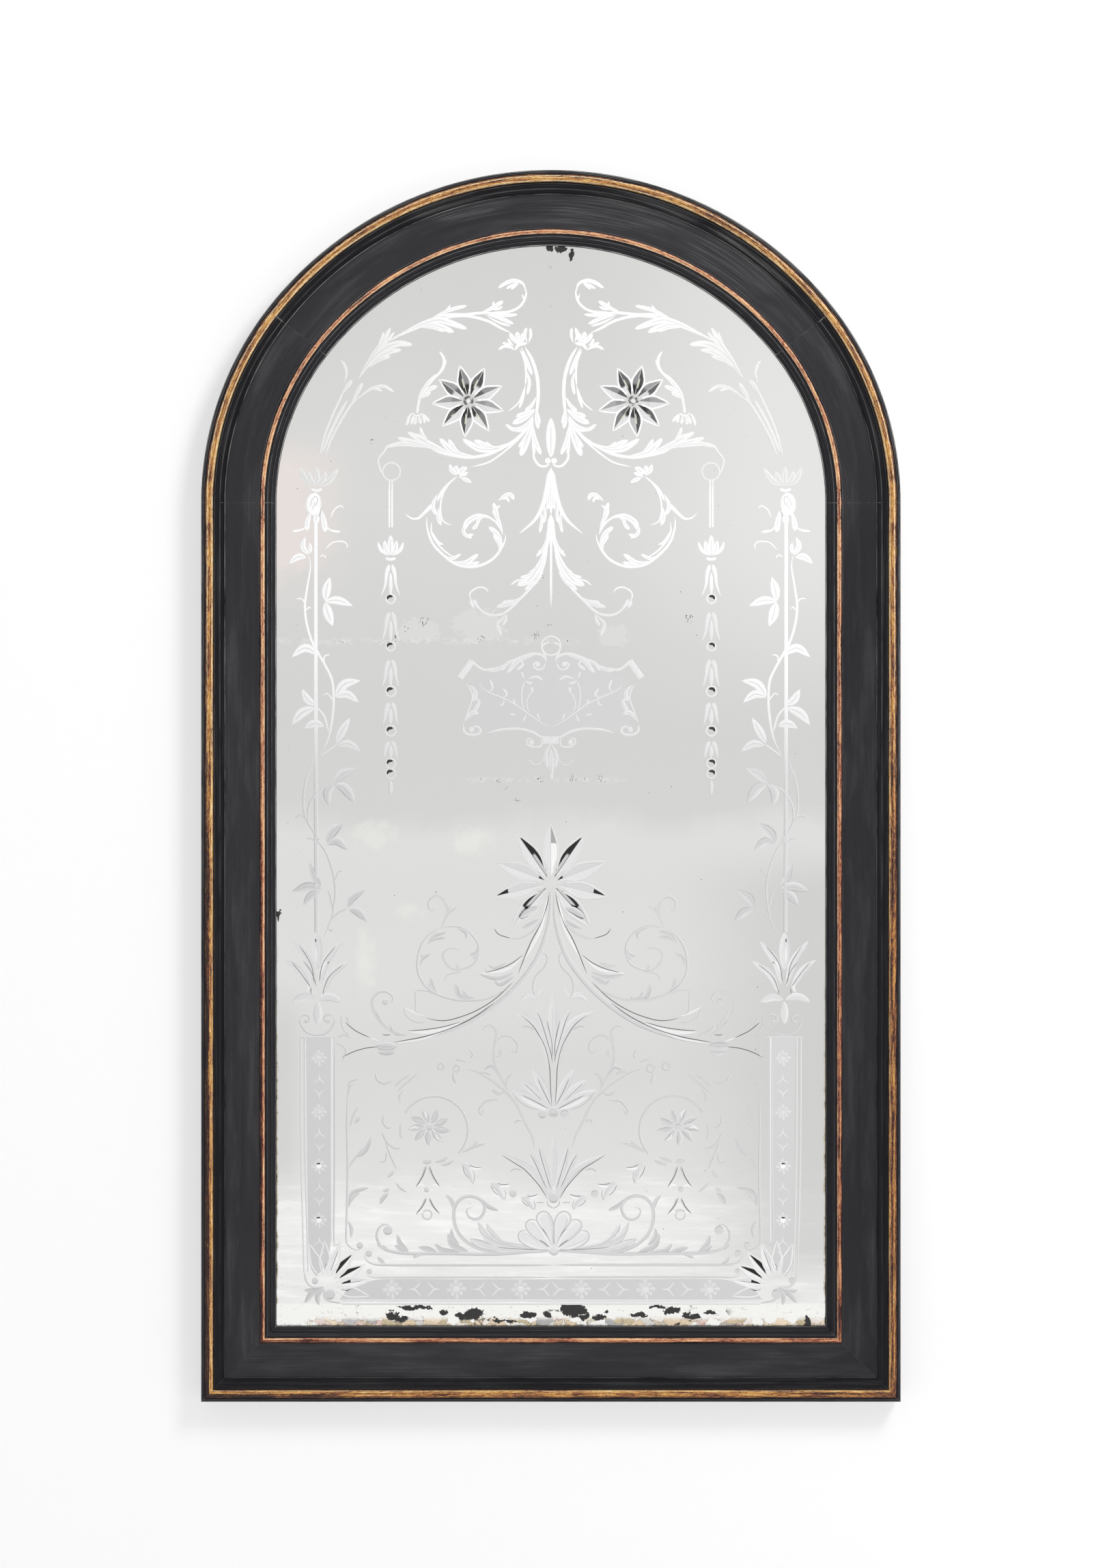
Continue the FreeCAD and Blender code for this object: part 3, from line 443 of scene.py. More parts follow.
def silvered_glass(start):
    """Old silvered plate glass: cloudy tone under painted reflection that changes by row and side, foxing along two
    lines, lost silver at the foot, dark cut stars.
    """
    x, y, z = start.place()
    flat = start.vector(x, 0.0, z)
    height = (z - SIGHT_FOOT) / (GLASS_HIGH.z - SIGHT_FOOT)
    cloud = start.noise(flat, 5.0, 4.0, 0.6)
    fleck = start.noise(flat, 160.0, 3.0, 0.6)
    grain = start.noise(flat, 1500.0, 2.0)
    rows = [(share_up(row), tint(level, level, level - 1.5)) for row, level in REFLECTION_ROWS_PX]
    # The grey by height is painted reflection, clouded a little.
    colour = start.ramp(height + (cloud - 0.5) * 0.07, rows)
    sweep = start.noise(start.vector(x * 9.0, 0.0, z * 60.0), 1.0, 4.0, 0.65)
    lower = height.step(0.16, 0.10)
    colour = start.mix(lower * sweep.step(0.46, 0.72) * 0.8, colour, tint(252, 252, 252))
    colour = start.mix(lower * sweep.step(0.46, 0.26) * 0.4, colour, tint(216, 215, 216))
    # Painted reflection: lighter right of the middle, darker low on the right and on the left.
    bright_side = x.step(0.0, 0.42) * z.step(-0.42, -0.05)
    colour = start.mix(bright_side * 0.5, colour, tint(240, 240, 238))
    dull_side = x.step(0.16, 0.44) * z.between(-1.24, -0.66, 0.1)
    colour = start.mix(dull_side * 0.8, colour, tint(205, 205, 203))
    dull_left = x.step(-0.40, -0.45) * z.between(-1.08, -0.9, 0.12)
    colour = start.mix(dull_left * 0.7, colour, tint(208, 208, 206))
    warm = x.step(-0.30, -0.44) * z.between(-0.11, 0.05, 0.08) * cloud.step(0.30, 0.52)
    colour = start.mix(warm * 0.8, colour, tint(234, 224, 220))
    wisp = start.noise(flat, 34.0, 4.0, 0.6)
    for column, row, reach, tall in MILKY_PX:
        milky = oval(x, z, column, row, reach, tall, wisp, 2.4).step(-0.7, 1.5)
        colour = start.mix(milky * 0.38, colour, tint(241, 241, 233))
    colour, black = foxing(start, colour, x, z, fleck)
    colour, black = edge_decay(start, colour, black, x, z, fleck)
    colour, black = lost_silver(start, colour, black, x, z)
    colour = start.mix(black, colour, tint(38, 36, 36))
    colour, facet = cut_facets(start, colour, x, z)
    rough = 0.05 + 0.03 * cloud + 0.4 * black + 0.1 * facet
    return {"Base Color": colour, "Metallic": 0.94 - 0.9 * black, "Roughness": rough,
            "Normal": start.bump(grain, 0.00002, 0.12)}


def foxing(start, colour, x, z, fleck):
    """Specks of lost silver, each in a paler halo, along two level lines and in a few clusters."""
    black = 0.0
    dots = start.cells(start.vector(x, 0.0, z), 330.0)
    few = start.noise(start.vector(x, 0.0, z), 48.0, 3.0, 0.7)
    ragged = start.noise(start.vector(x, 0.0, z), 210.0, 3.0, 0.7)
    for row, half, left, right in FOXING_LINES_PX:
        line = z.near(px_z(row), half * 1.6 * PIXEL) * x.between(px_x(left), px_x(right), 0.03)
        colour = start.mix(line * few.step(0.44, 0.6) * 0.45, colour, tint(236, 236, 232))
        black = (line * few.step(0.54, 0.6) * dots.step(0.34, 0.24)).most(black)
    for column, row, reach, height in FOXING_HALOS_PX:
        halo = oval(x, z, column, row, reach, height, few * 0.6 + fleck * 0.4, 2.4).step(0.0, 0.35)
        colour = start.mix(halo * 0.32, colour, tint(232, 232, 231))
    for column, row, reach in FOXING_SPOTS_PX:
        spot = oval(x, z, column, row, reach, reach, ragged, 1.6).step(0.2, 0.5)
        black = (spot * dots.step(0.36, 0.24)).most(black)
    stray = start.cells(start.vector(x, 0.0, z), 58.0)
    black = (stray.step(0.05, 0.036) * few.step(0.52, 0.6)).most(black)
    return colour, black


def oval(x, z, column, row, reach, height, ragged, amount):
    """Above 0 inside an oval with a ragged edge, placed and sized in pixels."""
    across = (x - px_x(column)) / (reach * PIXEL)
    up = (z - px_z(row)) / (height * PIXEL)
    return 1.0 - (across * across + up * up) + (ragged - 0.5) * (2.0 * amount)


def edge_decay(start, colour, black, x, z, fleck):
    """Brown creeping in from the sight edge, thickest low on both sides."""
    rim = SIGHT_HALF - abs(x)
    creep = start.noise(start.vector(x, 0.0, z), 26.0, 5.0, 0.7)
    low = z.step(-0.62, -1.1)
    brown = (rim + creep * 0.014).step(0.0105, 0.0075) * low
    colour = start.mix(brown * 0.8, colour, start.mix(fleck, tint(120, 98, 66), tint(226, 214, 184)))
    dark = (rim + creep * 0.01).step(0.0056, 0.0046) * low
    return colour, dark.most(black)


STAIN_STOPS = [
    (0.00, tint(236, 222, 196)), (0.22, tint(206, 168, 160)), (0.34, tint(240, 234, 224)), (0.50, tint(150, 152, 158)),
    (0.60, tint(226, 202, 170)), (0.76, tint(176, 160, 120)), (0.90, tint(232, 212, 184))]


def lost_silver(start, colour, black, x, z):
    """The perished strip at the foot: white ground, islands of black and stain with crazed edges, and a dark hem that
    is the painted shadow and reflection of the moulding.
    """
    flat = start.vector(x, 0.0, z)
    ragged = start.noise(flat, 70.0, 4.0, 0.65)
    fine = start.noise(flat, 380.0, 3.0, 0.6)
    bent_x = x + (start.noise(flat, 46.0, 3.0) - 0.5) * 0.03
    bent_z = z + (ragged - 0.5) * 0.022
    strip = (z + (ragged - 0.5) * 0.010).step(px_z(1909), px_z(1914))
    colour = start.mix(strip * 0.9, colour, start.mix(fine, tint(252, 252, 250), tint(238, 237, 232)))
    island = start.vector(bent_x, 0.0, bent_z * 1.6)
    chance = start.make("ShaderNodeTexVoronoi", {"feature": "F1"}, {"Vector": island, "Scale": 52.0}, "Color")
    chance = start.make("ShaderNodeSeparateColor", {}, {"Color": chance}, "Red")
    seam = start.cells(island, 52.0, "DISTANCE_TO_EDGE")
    low = (z + (ragged - 0.5) * 0.016).step(px_z(1930), px_z(1938)) * x.step(px_x(440), px_x(470))
    stain = start.ramp(chance + (fine - 0.5) * 0.3, STAIN_STOPS)
    colour = start.mix(low * chance.step(0.14, 0.2) * 0.9, colour, stain)
    lines = (seam + (fine - 0.5) * 0.03).step(0.020, 0.008) * strip
    lines = lines * (low * 0.6 + ragged.step(0.52, 0.6) * 0.7)
    colour = start.mix(lines, colour, tint(78, 64, 50))
    patchy = chance.step(0.90, 0.93) * (z + (ragged - 0.5) * 0.008).between(px_z(1942), px_z(1922), 0.003) * ragged.step(0.44, 0.5)
    black = (patchy * x.between(px_x(545), px_x(1060), 0.02)).most(black)
    for column, row, reach, height in FLAKES_PX:
        flake = oval(bent_x, bent_z, column, row, reach, height, fine, 0.7)
        black = flake.step(0.0, 0.15).most(black)
    # The dark hem is a painted shadow and reflection of the sight moulding.
    hem = (z + (ragged - 0.5) * 0.012 + (fine - 0.5) * 0.006).step(px_z(1941), px_z(1946))
    colour = start.mix(hem * 0.85, colour, start.mix(fine, tint(40, 40, 36), tint(96, 90, 66)))
    return colour, black


def petal_turns(cut):
    """The turn of a cut flower's first petal from upright, and the step to the next, in radians."""
    if cut["spread"] > 350.0:
        return math.radians(cut["lean"]), math.radians(cut["spread"] / cut["petals"])
    return math.radians(cut["lean"] - 0.5 * cut["spread"]), math.radians(cut["spread"] / (cut["petals"] - 1))


def petal_lines(start, x, z, cut):
    """A point in a cut flower: its share of the reach, its distance off the nearest spine, its rise, its petal."""
    aside, rise = (x, z - cut["centre"][1]) if cut["centre"][0] == 0 else (
        -cut["centre"][0] - abs(x), z - cut["centre"][1])
    first, step = petal_turns(cut)
    place = (start.math("ARCTAN2", aside, rise) - first) / step
    petal = start.math("ROUND", place)
    off = (place - petal) * step
    reach = start.math("SQRT", aside * aside + rise * rise)
    return reach / cut["reach"], reach * start.math("SINE", off), rise, petal


# Tones of painted reflection on the upper stars' walls, petal by petal from straight down and round by the left: the
# wall on the near side of each spine at its root and tip, then the wall on the far side.
STAR_NEAR_ROOT = (72, 226, 222, 224, 66, 64, 104, 156, 112, 72)
STAR_NEAR_TIP = (196, 230, 226, 108, 86, 112, 158, 176, 138, 196)
STAR_FAR_ROOT = (58, 66, 148, 112, 58, 232, 224, 222, 58, 58)
STAR_FAR_TIP = (92, 106, 172, 168, 150, 84, 230, 228, 230, 92)


def petal_width(share, half):
    """Half the width of a leaf-shaped petal at a share of its reach."""
    return (share * (1.0 - share) * 4.0).most(0.001) ** 0.7 * half


def star_walls(start, x, z, streak):
    """Upper stars: painted reflections, each wall with its own grey at root and tip, and a pale wedge in the two
    upright petals.
    """
    share, off, rise, petal = petal_lines(start, x, z, STAR)
    index = petal + 4.0
    turn = (share + (streak - 0.5) * 0.12).step(0.46, 0.56)
    near = start.mix(turn, start.pick(index, STAR_NEAR_ROOT), start.pick(index, STAR_NEAR_TIP))
    far = start.mix(turn, start.pick(index, STAR_FAR_ROOT), start.pick(index, STAR_FAR_TIP))
    tone = start.mix(off.step(-0.0001, 0.0001), near, far)
    tone = start.mix((streak - 0.5) * 0.5, tone, tint(40, 40, 40))
    wedge = (off * rise).step(0.0, -0.000004) * abs(off).between(0.0008, 0.0024, 0.0004) * share.between(0.34, 0.66, 0.06)
    tone = start.mix(wedge * abs(rise).step(0.020, 0.024) * 0.9, tone, tint(226, 226, 208))
    return start.mix(abs(off).step(0.0006, 0.0003) * 0.85, tone, tint(236, 236, 234))


def heart_walls(start, x, z, nx):
    """The heart star's painted reflections: pale, with black upper walls that hold a grey stripe, and black tips low at
    the sides.
    """
    share, off, rise, petal = petal_lines(start, abs(x), z, HEART)
    upper = off.step(0.0002, -0.0002)
    tone = start.mix(upper, tint(229, 229, 229), tint(219, 219, 219))
    lens = abs(off) / petal_width(share, HEART["half"])
    stripe = lens.between(0.12, 0.52, 0.06) * share.between(0.20, 0.56, 0.06)
    black = petal.near(5.0, 0.4) * share.step(0.98, 0.95)
    black = black.most(petal.near(8.0, 0.4) * share.step(0.66, 0.63)) * upper
    tone = start.mix(black, tone, start.mix(stripe, tint(50, 50, 50), tint(206, 206, 205)))
    low_tip = petal.near(7.0, 0.4) * share.between(0.78, 0.97, 0.01) * upper
    root = petal.near(6.0, 0.4) * share.step(0.25, 0.22) * upper
    tone = start.mix(low_tip.most(root), tone, tint(50, 50, 50))
    upright = petal.near(4.0, 0.4) * nx.step(0.0, -0.1)
    tone = start.mix(upright, tone, start.mix(share.step(0.70, 0.72), tint(249, 249, 248), tint(176, 176, 175)))
    return start.mix(abs(off).step(0.0006, 0.0003) * 0.5, tone, tint(190, 190, 190))


def fan_walls(start, x, z):
    """The corner fans' painted reflections: white with a dark line in each cut, and a black wall on the petals that
    lean inwards.
    """
    share, off, rise, petal = petal_lines(start, x, z, FAN)
    upper = off.step(0.0002, -0.0002)
    tone = start.mix(upper, tint(241, 241, 240), tint(226, 226, 226))
    black = petal.between(2.8, 4.2, 0.2) * share.between(0.26, 0.94, 0.02)
    black = black.most(petal.near(5.0, 0.4) * share.between(0.16, 0.60, 0.02)) * upper
    tone = start.mix(black, tone, tint(48, 47, 46))
    return start.mix(abs(off).step(0.0007, 0.0003) * share.step(0.92, 0.8) * 0.75, tone, tint(84, 84, 83))


def cut_facets(start, colour, x, z):
    """Wheel-cut walls with painted reflections, toned by the way each one faces."""
    nx, ny, nz = start.facing()
    facet = ny.step(-0.985, -0.96) * ny.step(0.0, -0.3)
    streak = start.noise(start.vector(x, 0.0, z), 150.0, 3.0, 0.6)
    tone = start.mix(z.step(-0.2, -0.21), star_walls(start, x, z, streak), heart_walls(start, x, z, nx))
    tone = start.mix(z.step(-1.0, -1.01), tone, fan_walls(start, x, z))
    colour = start.mix(facet, colour, tone)
    share = petal_lines(start, x, z, STAR)[0]
    eye = share.between(0.075, 0.15, 0.01) * streak.step(0.42, 0.55)
    colour = start.mix(eye * 0.8, colour, tint(58, 58, 58))
    return start.mix(share.step(0.07, 0.06), colour, tint(234, 234, 232)), facet


FROST_ROWS_PX = (
    (1940, 217), (1740, 216), (1600, 213), (1400, 215), (1250, 217), (1180, 219), (1120, 224), (1020, 228), (900, 230),
    (870, 239), (840, 248), (380, 253))
COLUMN_ROWS_PX = (
    (1940, 217), (1340, 213), (1180, 214), (1130, 218), (1090, 226), (1050, 236), (1000, 243), (950, 250), (720, 252))
RIM_ROWS_PX = ((1120, 228), (1020, 233), (900, 232), (840, 229), (380, 229))
LAMP_EXCESS = 0.11
UNDER_STOPS = [
    (0.14, tint(233, 234, 232)), (0.24, tint(229, 230, 228)), (0.30, tint(215, 214, 215)), (0.42, tint(196, 196, 196)),
    (0.55, tint(140, 140, 140)), (1.0, tint(60, 60, 59))]


def etched_frost(start):
    """Acid-frosted glass: white over the upper silver, greyer than it lower down, with pale rims and veins, and lower
    down a painted highlight and painted shade on the two sides of each bar.
    """
    x, y, z = start.place()
    tone = start.make("ShaderNodeAttribute", {"attribute_name": "tone"}, {}, "Fac")
    across = start.make("ShaderNodeAttribute", {"attribute_name": "across"}, {}, "Fac")
    along = start.make("ShaderNodeAttribute", {"attribute_name": "along"}, {}, "Fac")
    height = (z - SIGHT_FOOT) / (GLASS_HIGH.z - SIGHT_FOOT)
    rows = [[(share_up(row), tint(level, level, level)) for row, level in table]
            for table in (FROST_ROWS_PX, COLUMN_ROWS_PX, RIM_ROWS_PX)]
    aside = abs(x)
    frost = start.mix(aside.step(0.28, 0.32), start.ramp(height, rows[0]), start.ramp(height, rows[1]))
    fade = aside.step(0.08, 0.40) * z.step(px_z(722), px_z(706))
    frost = start.mix(fade, frost, tint(229, 230, 228))
    rim = start.ramp(height, rows[2])
    grain = start.noise(start.vector(x, y, z), 1400.0, 2.0)
    cloud = start.noise(start.vector(x, y, z), 90.0, 3.0)
    veined = start.make("ShaderNodeAttribute", {"attribute_name": "veined"}, {}, "Fac")
    vein = across.near(0.0, 0.22) * along.between(0.12, 0.72, 0.12) * veined * 0.5
    shade = vein + (grain - 0.5) * 0.08 + (cloud - 0.5) * 0.14
    colour = start.mix(shade.most(0.0), frost, tint(176, 176, 177))
    low = z.step(px_z(1080), px_z(1180))
    colour = start.mix(across.step(0.1, -0.1) * veined * low * 0.3, colour, tint(196, 196, 196))
    colour = start.mix(abs(across).step(0.74, 0.96) * (1.0 - low), colour, rim)
    # Lower down, a painted highlight on one side of each bar and painted shade on the other.
    colour = start.mix(across.step(0.55, 0.85) * low * 0.9, colour, tint(229, 229, 229))
    colour = start.mix(across.step(-0.5, -0.8) * low * (0.35 + 0.9 * (cloud - 0.3)), colour, tint(172, 172, 172))
    colour = start.mix(tone.step(0.1, 1.0), colour, tint(254, 254, 254))
    under = start.ramp(-tone, UNDER_STOPS)
    colour = start.mix((-tone).step(0.02, 0.14), colour, under)
    colour = start.mix(LAMP_EXCESS, colour, (0.0, 0.0, 0.0))
    return {"Base Color": colour, "Roughness": 0.62 + 0.2 * (grain - 0.5), "Specular IOR Level": 0.2,
            "Normal": start.bump(grain, 0.00006, 0.35)}


def backing_paint(start):
    """Red-brown paint brushed over the silver."""
    x, y, z = start.place()
    brushed = start.noise(start.vector(x * 30.0, y, z * 260.0), 1.0, 4.0)
    colour = start.mix(brushed, tint(96, 54, 42), tint(134, 84, 64))
    return {"Base Color": colour, "Roughness": 0.7, "Normal": start.bump(brushed, 0.0002, 0.5)}


def old_pine(start, low, high):
    """Sawn pine gone brown: growth rings drawn out along one board, pores, a dark edge, dust and a few knots."""
    x, y, z = start.place()
    seed = 37.0 * (low + high)
    up = (z - low) / (high - low)
    wobble = start.noise(start.vector(x * 0.9, seed, z * 3.0), 1.0, 3.0)
    bow = start.noise(start.vector(x * 2.2, seed + 5.0, z * 16.0), 1.0, 2.0)
    rings = start.math("FRACT", z * 34.0 + wobble * 7.0 + bow * 1.2)
    late = rings.step(0.30, 0.92) * rings.step(1.0, 0.94)
    pores = start.noise(start.vector(x * 18.0, y * 300.0, z * 820.0 + seed), 1.0, 4.0, 0.65)
    stain = start.noise(start.vector(x * 3.0, seed, z * 3.0), 1.0, 5.0)
    knot = start.cells(start.vector(x * 1.1, seed, z * 1.9), 3.0).step(0.075, 0.02)
    body = start.mix(math.sin(seed) * 0.5 + 0.5, tint(178, 140, 96), tint(150, 114, 74))
    colour = start.mix(late * 0.55 + pores * 0.25, body, tint(112, 78, 48))
    colour = start.mix(stain.step(0.46, 0.76) * 0.5, colour, tint(88, 66, 46))
    colour = start.mix(knot * 0.85, colour, tint(62, 40, 25))
    colour = start.mix(pores.step(0.62, 0.8) * 0.35, colour, tint(58, 42, 30))
    edge = up.near(0.0, 0.022).most(up.near(1.0, 0.022))
    colour = start.mix(edge * 0.75, colour, tint(48, 34, 24))
    height = late * 0.3 + pores * 0.7 - edge
    return {"Base Color": colour, "Roughness": 0.68 + 0.15 * pores, "Normal": start.bump(height, 0.0005, 0.5)}


def old_steel(start):
    """Screw steel dulled by rust."""
    x, y, z = start.place()
    rust = start.noise(start.vector(x, y, z), 420.0, 4.0, 0.65)
    colour = start.mix(rust.step(0.48, 0.68), tint(128, 126, 122), tint(96, 66, 46))
    return {"Base Color": colour, "Metallic": 0.9 - 0.7 * rust.step(0.48, 0.68),
            "Roughness": 0.38 + 0.3 * rust, "Normal": start.bump(rust, 0.0002, 0.4)}


def old_brass(start):
    """Brass with brown tarnish and brighter rubbed patches."""
    x, y, z = start.place()
    tarnish = start.noise(start.vector(x, y, z), 160.0, 5.0, 0.6)
    scratch = start.noise(start.vector(x * 1400.0, y * 300.0, z * 120.0), 1.0, 2.0)
    colour = start.mix(tarnish.step(0.38, 0.66), tint(206, 168, 96), tint(124, 92, 52))
    return {"Base Color": colour, "Metallic": 1.0, "Roughness": 0.28 + 0.3 * tarnish,
            "Normal": start.bump(scratch, 0.00006, 0.3)}


def pressed_cork(start):
    """Cork crumbs of several browns with dark seams."""
    x, y, z = start.place()
    crumb = start.cells(start.vector(x, y, z), 420.0)
    shade = start.noise(start.vector(x, y, z), 300.0, 2.0)
    colour = start.ramp(shade, [(0.3, tint(120, 82, 50)), (0.5, tint(176, 132, 88)), (0.7, tint(204, 164, 118))])
    colour = start.mix(crumb.step(0.55, 0.75) * 0.8, colour, tint(70, 46, 28))
    return {"Base Color": colour, "Roughness": 0.85, "Normal": start.bump(crumb, 0.0006, 0.6)}


def member_of(node):
    """The kind of frame member that a node belongs to."""
    for kind in ("stile", "haunch", "crown"):
        if kind in node:
            return kind
    return "rail"


def dress_nodes():
    """Gives every CAD node the finish of its slot, with the lines of its member where it is part of the frame."""
    plain = {"mirror_glass": silvered_glass, "backing_paint": backing_paint, "steel": old_steel,
             "brass": old_brass, "cork": pressed_cork}
    made = {}
    for name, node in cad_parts.items():
        slot = node.data.materials[0].name
        member = member_of(name)
        key = slot if slot in plain else slot + "_" + member + ("_slip" if "slip" in name else "")
        if slot == "pine":
            low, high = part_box(name)
            made[name] = material(name + "_pine_finish", old_pine, low.z, high.z)
            key = name
        if key not in made:
            if slot == "ebonised_wood":
                made[key] = material(key + "_finish", ebonised_wood, member)
            elif slot == "gilding":
                lines = (SLIP_STOPS, SLIP_IN, SLIP_OUT) if "slip" in name else (GILT_STOPS, BEAD_IN, BEAD_OUT)
                made[key] = material(key + "_finish", worn_gilding, member, *lines)
            else:
                made[key] = material(key + "_finish", plain[slot])
        node.data.materials[0] = made[key]


# Etched bars.

def smooth_path(points, count):
    """A smooth curve through the points, as count places evenly spread along it.

    Between two points it is the Catmull-Rom cubic of those two and their neighbours; the places are then
    moved to equal steps of its length.
    """
    knots = np.asarray(points, float)
    knots = np.vstack([2 * knots[0] - knots[1], knots, 2 * knots[-1] - knots[-2]])
    share = np.linspace(0, len(knots) - 3, 12 * len(knots))
    stretch = np.minimum(share.astype(int), len(knots) - 4)
    t = (share - stretch)[:, None]
    a, b, c, d = (knots[stretch + i] for i in range(4))
    curve = b + 0.5 * t * (c - a + t * (2 * a - 5 * b + 4 * c - d + t * (3 * (b - c) + d - a)))
    run = np.concatenate([[0.0], np.cumsum(np.hypot(*np.diff(curve, axis=0).T))])
    even = np.linspace(0, run[-1], count)
    return np.column_stack([np.interp(even, run, curve[:, i]) for i in (0, 1)])


SWELL = {
    "stem": lambda s: 1 - np.abs(2 * s - 1) ** 6,
    "leaf": lambda s: (4 * s * (1 - s)) ** 0.7,
    "ovate": lambda s: s ** 0.8 * (1 - s) / 0.29,
    "lobe": lambda s: (s ** 0.9 * (1 - s) ** 0.45) / 0.55,
    "horn": lambda s: np.minimum(1, 10 * s) * (1 - s) ** 0.65,
    "grow": lambda s: np.minimum(1, 0.12 + s) ** 1.2 * (1 - s ** 12),
    "bar": lambda s: np.ones_like(s),
    "dome": lambda s: np.sqrt(np.maximum(0, 1 - (2 * s - 1) ** 2)),
}


def bowed(points):
    """A two-point stroke gets a middle point a tenth of its length to one side, so that it isn't straight."""
    if len(points) > 2:
        return points
    first, last = np.asarray(points, float)
    run = last - first
    return [first, (first + last) / 2 + 0.10 * np.array([-run[1], run[0]]), last]


def stroke(kind, width, points, tone=PLAIN_FROST, straight=False):
    """One etched bar in pixels: how it swells, how wide it is, where it runs, and its tone."""
    return {"kind": kind, "width": width, "points": points if straight else bowed(points), "tone": tone}


def acanthus(width, points, lobes=4):
    """A leaf with round lobes along both edges: each springs from the spine and follows it outwards.

    Lobe i starts at an even share of the spine, leans out by less towards the tip, and is about as long as
    the leaf is wide.
    """
    made = [stroke("lobe", width * 0.7, points)]
    spine = smooth_path(bowed(points), 40)
    heading = np.gradient(spine, axis=0)
    heading /= np.hypot(*heading.T)[:, None]
    for i in range(lobes):
        at = int(4 + 24 * i / max(1, lobes - 1))
        ahead = heading[at]
        for side in (1, -1):
            out = np.array([-ahead[1], ahead[0]]) * side
            reach = width * (1.15 - 0.12 * i)
            root = spine[at]
            middle = root + reach * (0.50 * ahead + 0.22 * out)
            tip = root + reach * (1.05 * ahead + 0.52 * out)
            made.append(stroke("lobe", width * 0.46, [root, middle, tip]))
    return made


def at_pixel(points):
    """Pixels of the photograph as (x, z) in metres on the glass."""
    points = np.asarray(points, float)
    return np.column_stack([(points[:, 0] - AXIS_PX) * PIXEL, (SPRING_PX - points[:, 1]) * PIXEL])


def flipped(strokes, axis=AXIS_PX):
    """The same strokes on the other side of an upright line at a pixel column."""
    return [dict(s, points=[(2 * axis - p[0], p[1]) for p in s["points"]]) for s in strokes]


def oval_bar(one):
    """The rings of one bar, and for each ring point its share along and its place across.

    At share s of the path and turn a of the ring: the place is path(s) + normal(s) * half_width(s) * cos a,
    and the height is sin a times the relief above the glass, or times the sunk depth below it.
    """
    length = np.hypot(*np.diff(np.asarray(one["points"], float), axis=0).T).sum()
    count = int(np.clip(length / 3.0, 8, 64))
    path = smooth_path(at_pixel(one["points"]), count)
    heading = np.gradient(path, axis=0)
    heading /= np.hypot(*heading.T)[:, None]
    normal = np.column_stack([-heading[:, 1], heading[:, 0]])
    s = np.linspace(0, 1, count)
    swell = 0.05 + 0.95 * np.clip(SWELL[one["kind"]](s), 0, 1)
    half = 0.5 * one["width"] * PIXEL * swell
    turn = np.arange(RING_SIDES) * (2 * math.pi / RING_SIDES)
    flat = path[:, None] + normal[:, None] * (half[:, None] * np.cos(turn))[:, :, None]
    proud = PROUD * (1.3 if one["tone"] < -0.3 else 1.15 if one["tone"] > 0.5 else 1.0)
    rise = np.where(np.sin(turn) > 0, proud, SUNK) * np.sin(turn)
    lift = np.sqrt(swell)[:, None] * rise
    rings = np.stack([flat[:, :, 0], GLASS_FACE - lift, flat[:, :, 1]], axis=2)
    return rings, np.repeat(s, RING_SIDES), np.tile(np.cos(turn), count)


def etched_piece(name, strokes, finish):
    """One mesh of many oval bars: quads between neighbouring rings, and a face over each end."""
    places, faces, along, across, tone, veined = [], [], [], [], [], []
    start = 0
    for one in strokes:
        rings, share, side = oval_bar(one)
        count = len(rings)
        first = start + np.arange((count - 1) * RING_SIDES).reshape(count - 1, RING_SIDES)
        after = np.roll(first, -1, axis=1)
        quads = np.stack([first, after, after + RING_SIDES, first + RING_SIDES], axis=2)
        faces += quads.reshape(-1, 4).tolist()
        ends = start + np.arange(RING_SIDES)
        faces += [ends[::-1].tolist(), (ends + (count - 1) * RING_SIDES).tolist()]
        places.append(rings.reshape(-1, 3))
        along.append(share)
        across.append(side)
        tone.append(np.full(len(share), one["tone"]))
        has_vein = one["kind"] in ("leaf", "lobe", "ovate") and one["width"] > 6.5
        veined.append(np.full(len(share), 1.0 if has_vein else 0.0))
        start += count * RING_SIDES
    mesh = bpy.data.meshes.new(name)
    mesh.from_pydata(np.concatenate(places).tolist(), [], faces)
    turn_outwards(mesh)
    for key, values in (("along", along), ("across", across), ("tone", tone), ("veined", veined)):
        layer = mesh.attributes.new(key, "FLOAT", "POINT")
        layer.data.foreach_set("value", np.concatenate(values).astype(np.float32))
    mesh.materials.append(finish)
    piece = bpy.data.objects.new(name, mesh)
    bpy.context.scene.collection.objects.link(piece)
    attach(piece, "frame")
    return piece


def turn_outwards(mesh):
    """Makes every closed bar's faces point out of it."""
    work = bmesh.new()
    work.from_mesh(mesh)
    bmesh.ops.recalc_face_normals(work, faces=work.faces)
    work.to_mesh(mesh)
    work.free()


def drawn(family):
    """The strokes of a family: a dict of kind to (width, points), where some kinds are groups of strokes."""
    made = []
    for kind, rows in family.items():
        for width, points in rows:
            if kind == "acanthus":
                made += acanthus(width, points)
            elif kind == "dark":
                made.append(stroke("stem", 0.75 * width, points, -0.78))
            elif kind == "vine":
                made.append(stroke("ovate", width, points))
            elif kind == "pale":
                made.append(stroke("leaf", width, points, 0.42))
            elif kind == "grey":
                made.append(stroke("stem", width, points, -0.36))
            elif kind == "faint":
                made.append(stroke("stem", width, points, -0.2))
            elif kind == "plume":
                made.append(stroke("leaf", 0.8 * width, points, 0.6))
            elif kind == "ring":
                made.append(ring(points[0], points[1][0], width))
            elif kind == "bead":
                made.append(bead(points[0], width))
            else:
                made.append(stroke(kind, width, points))
    return made


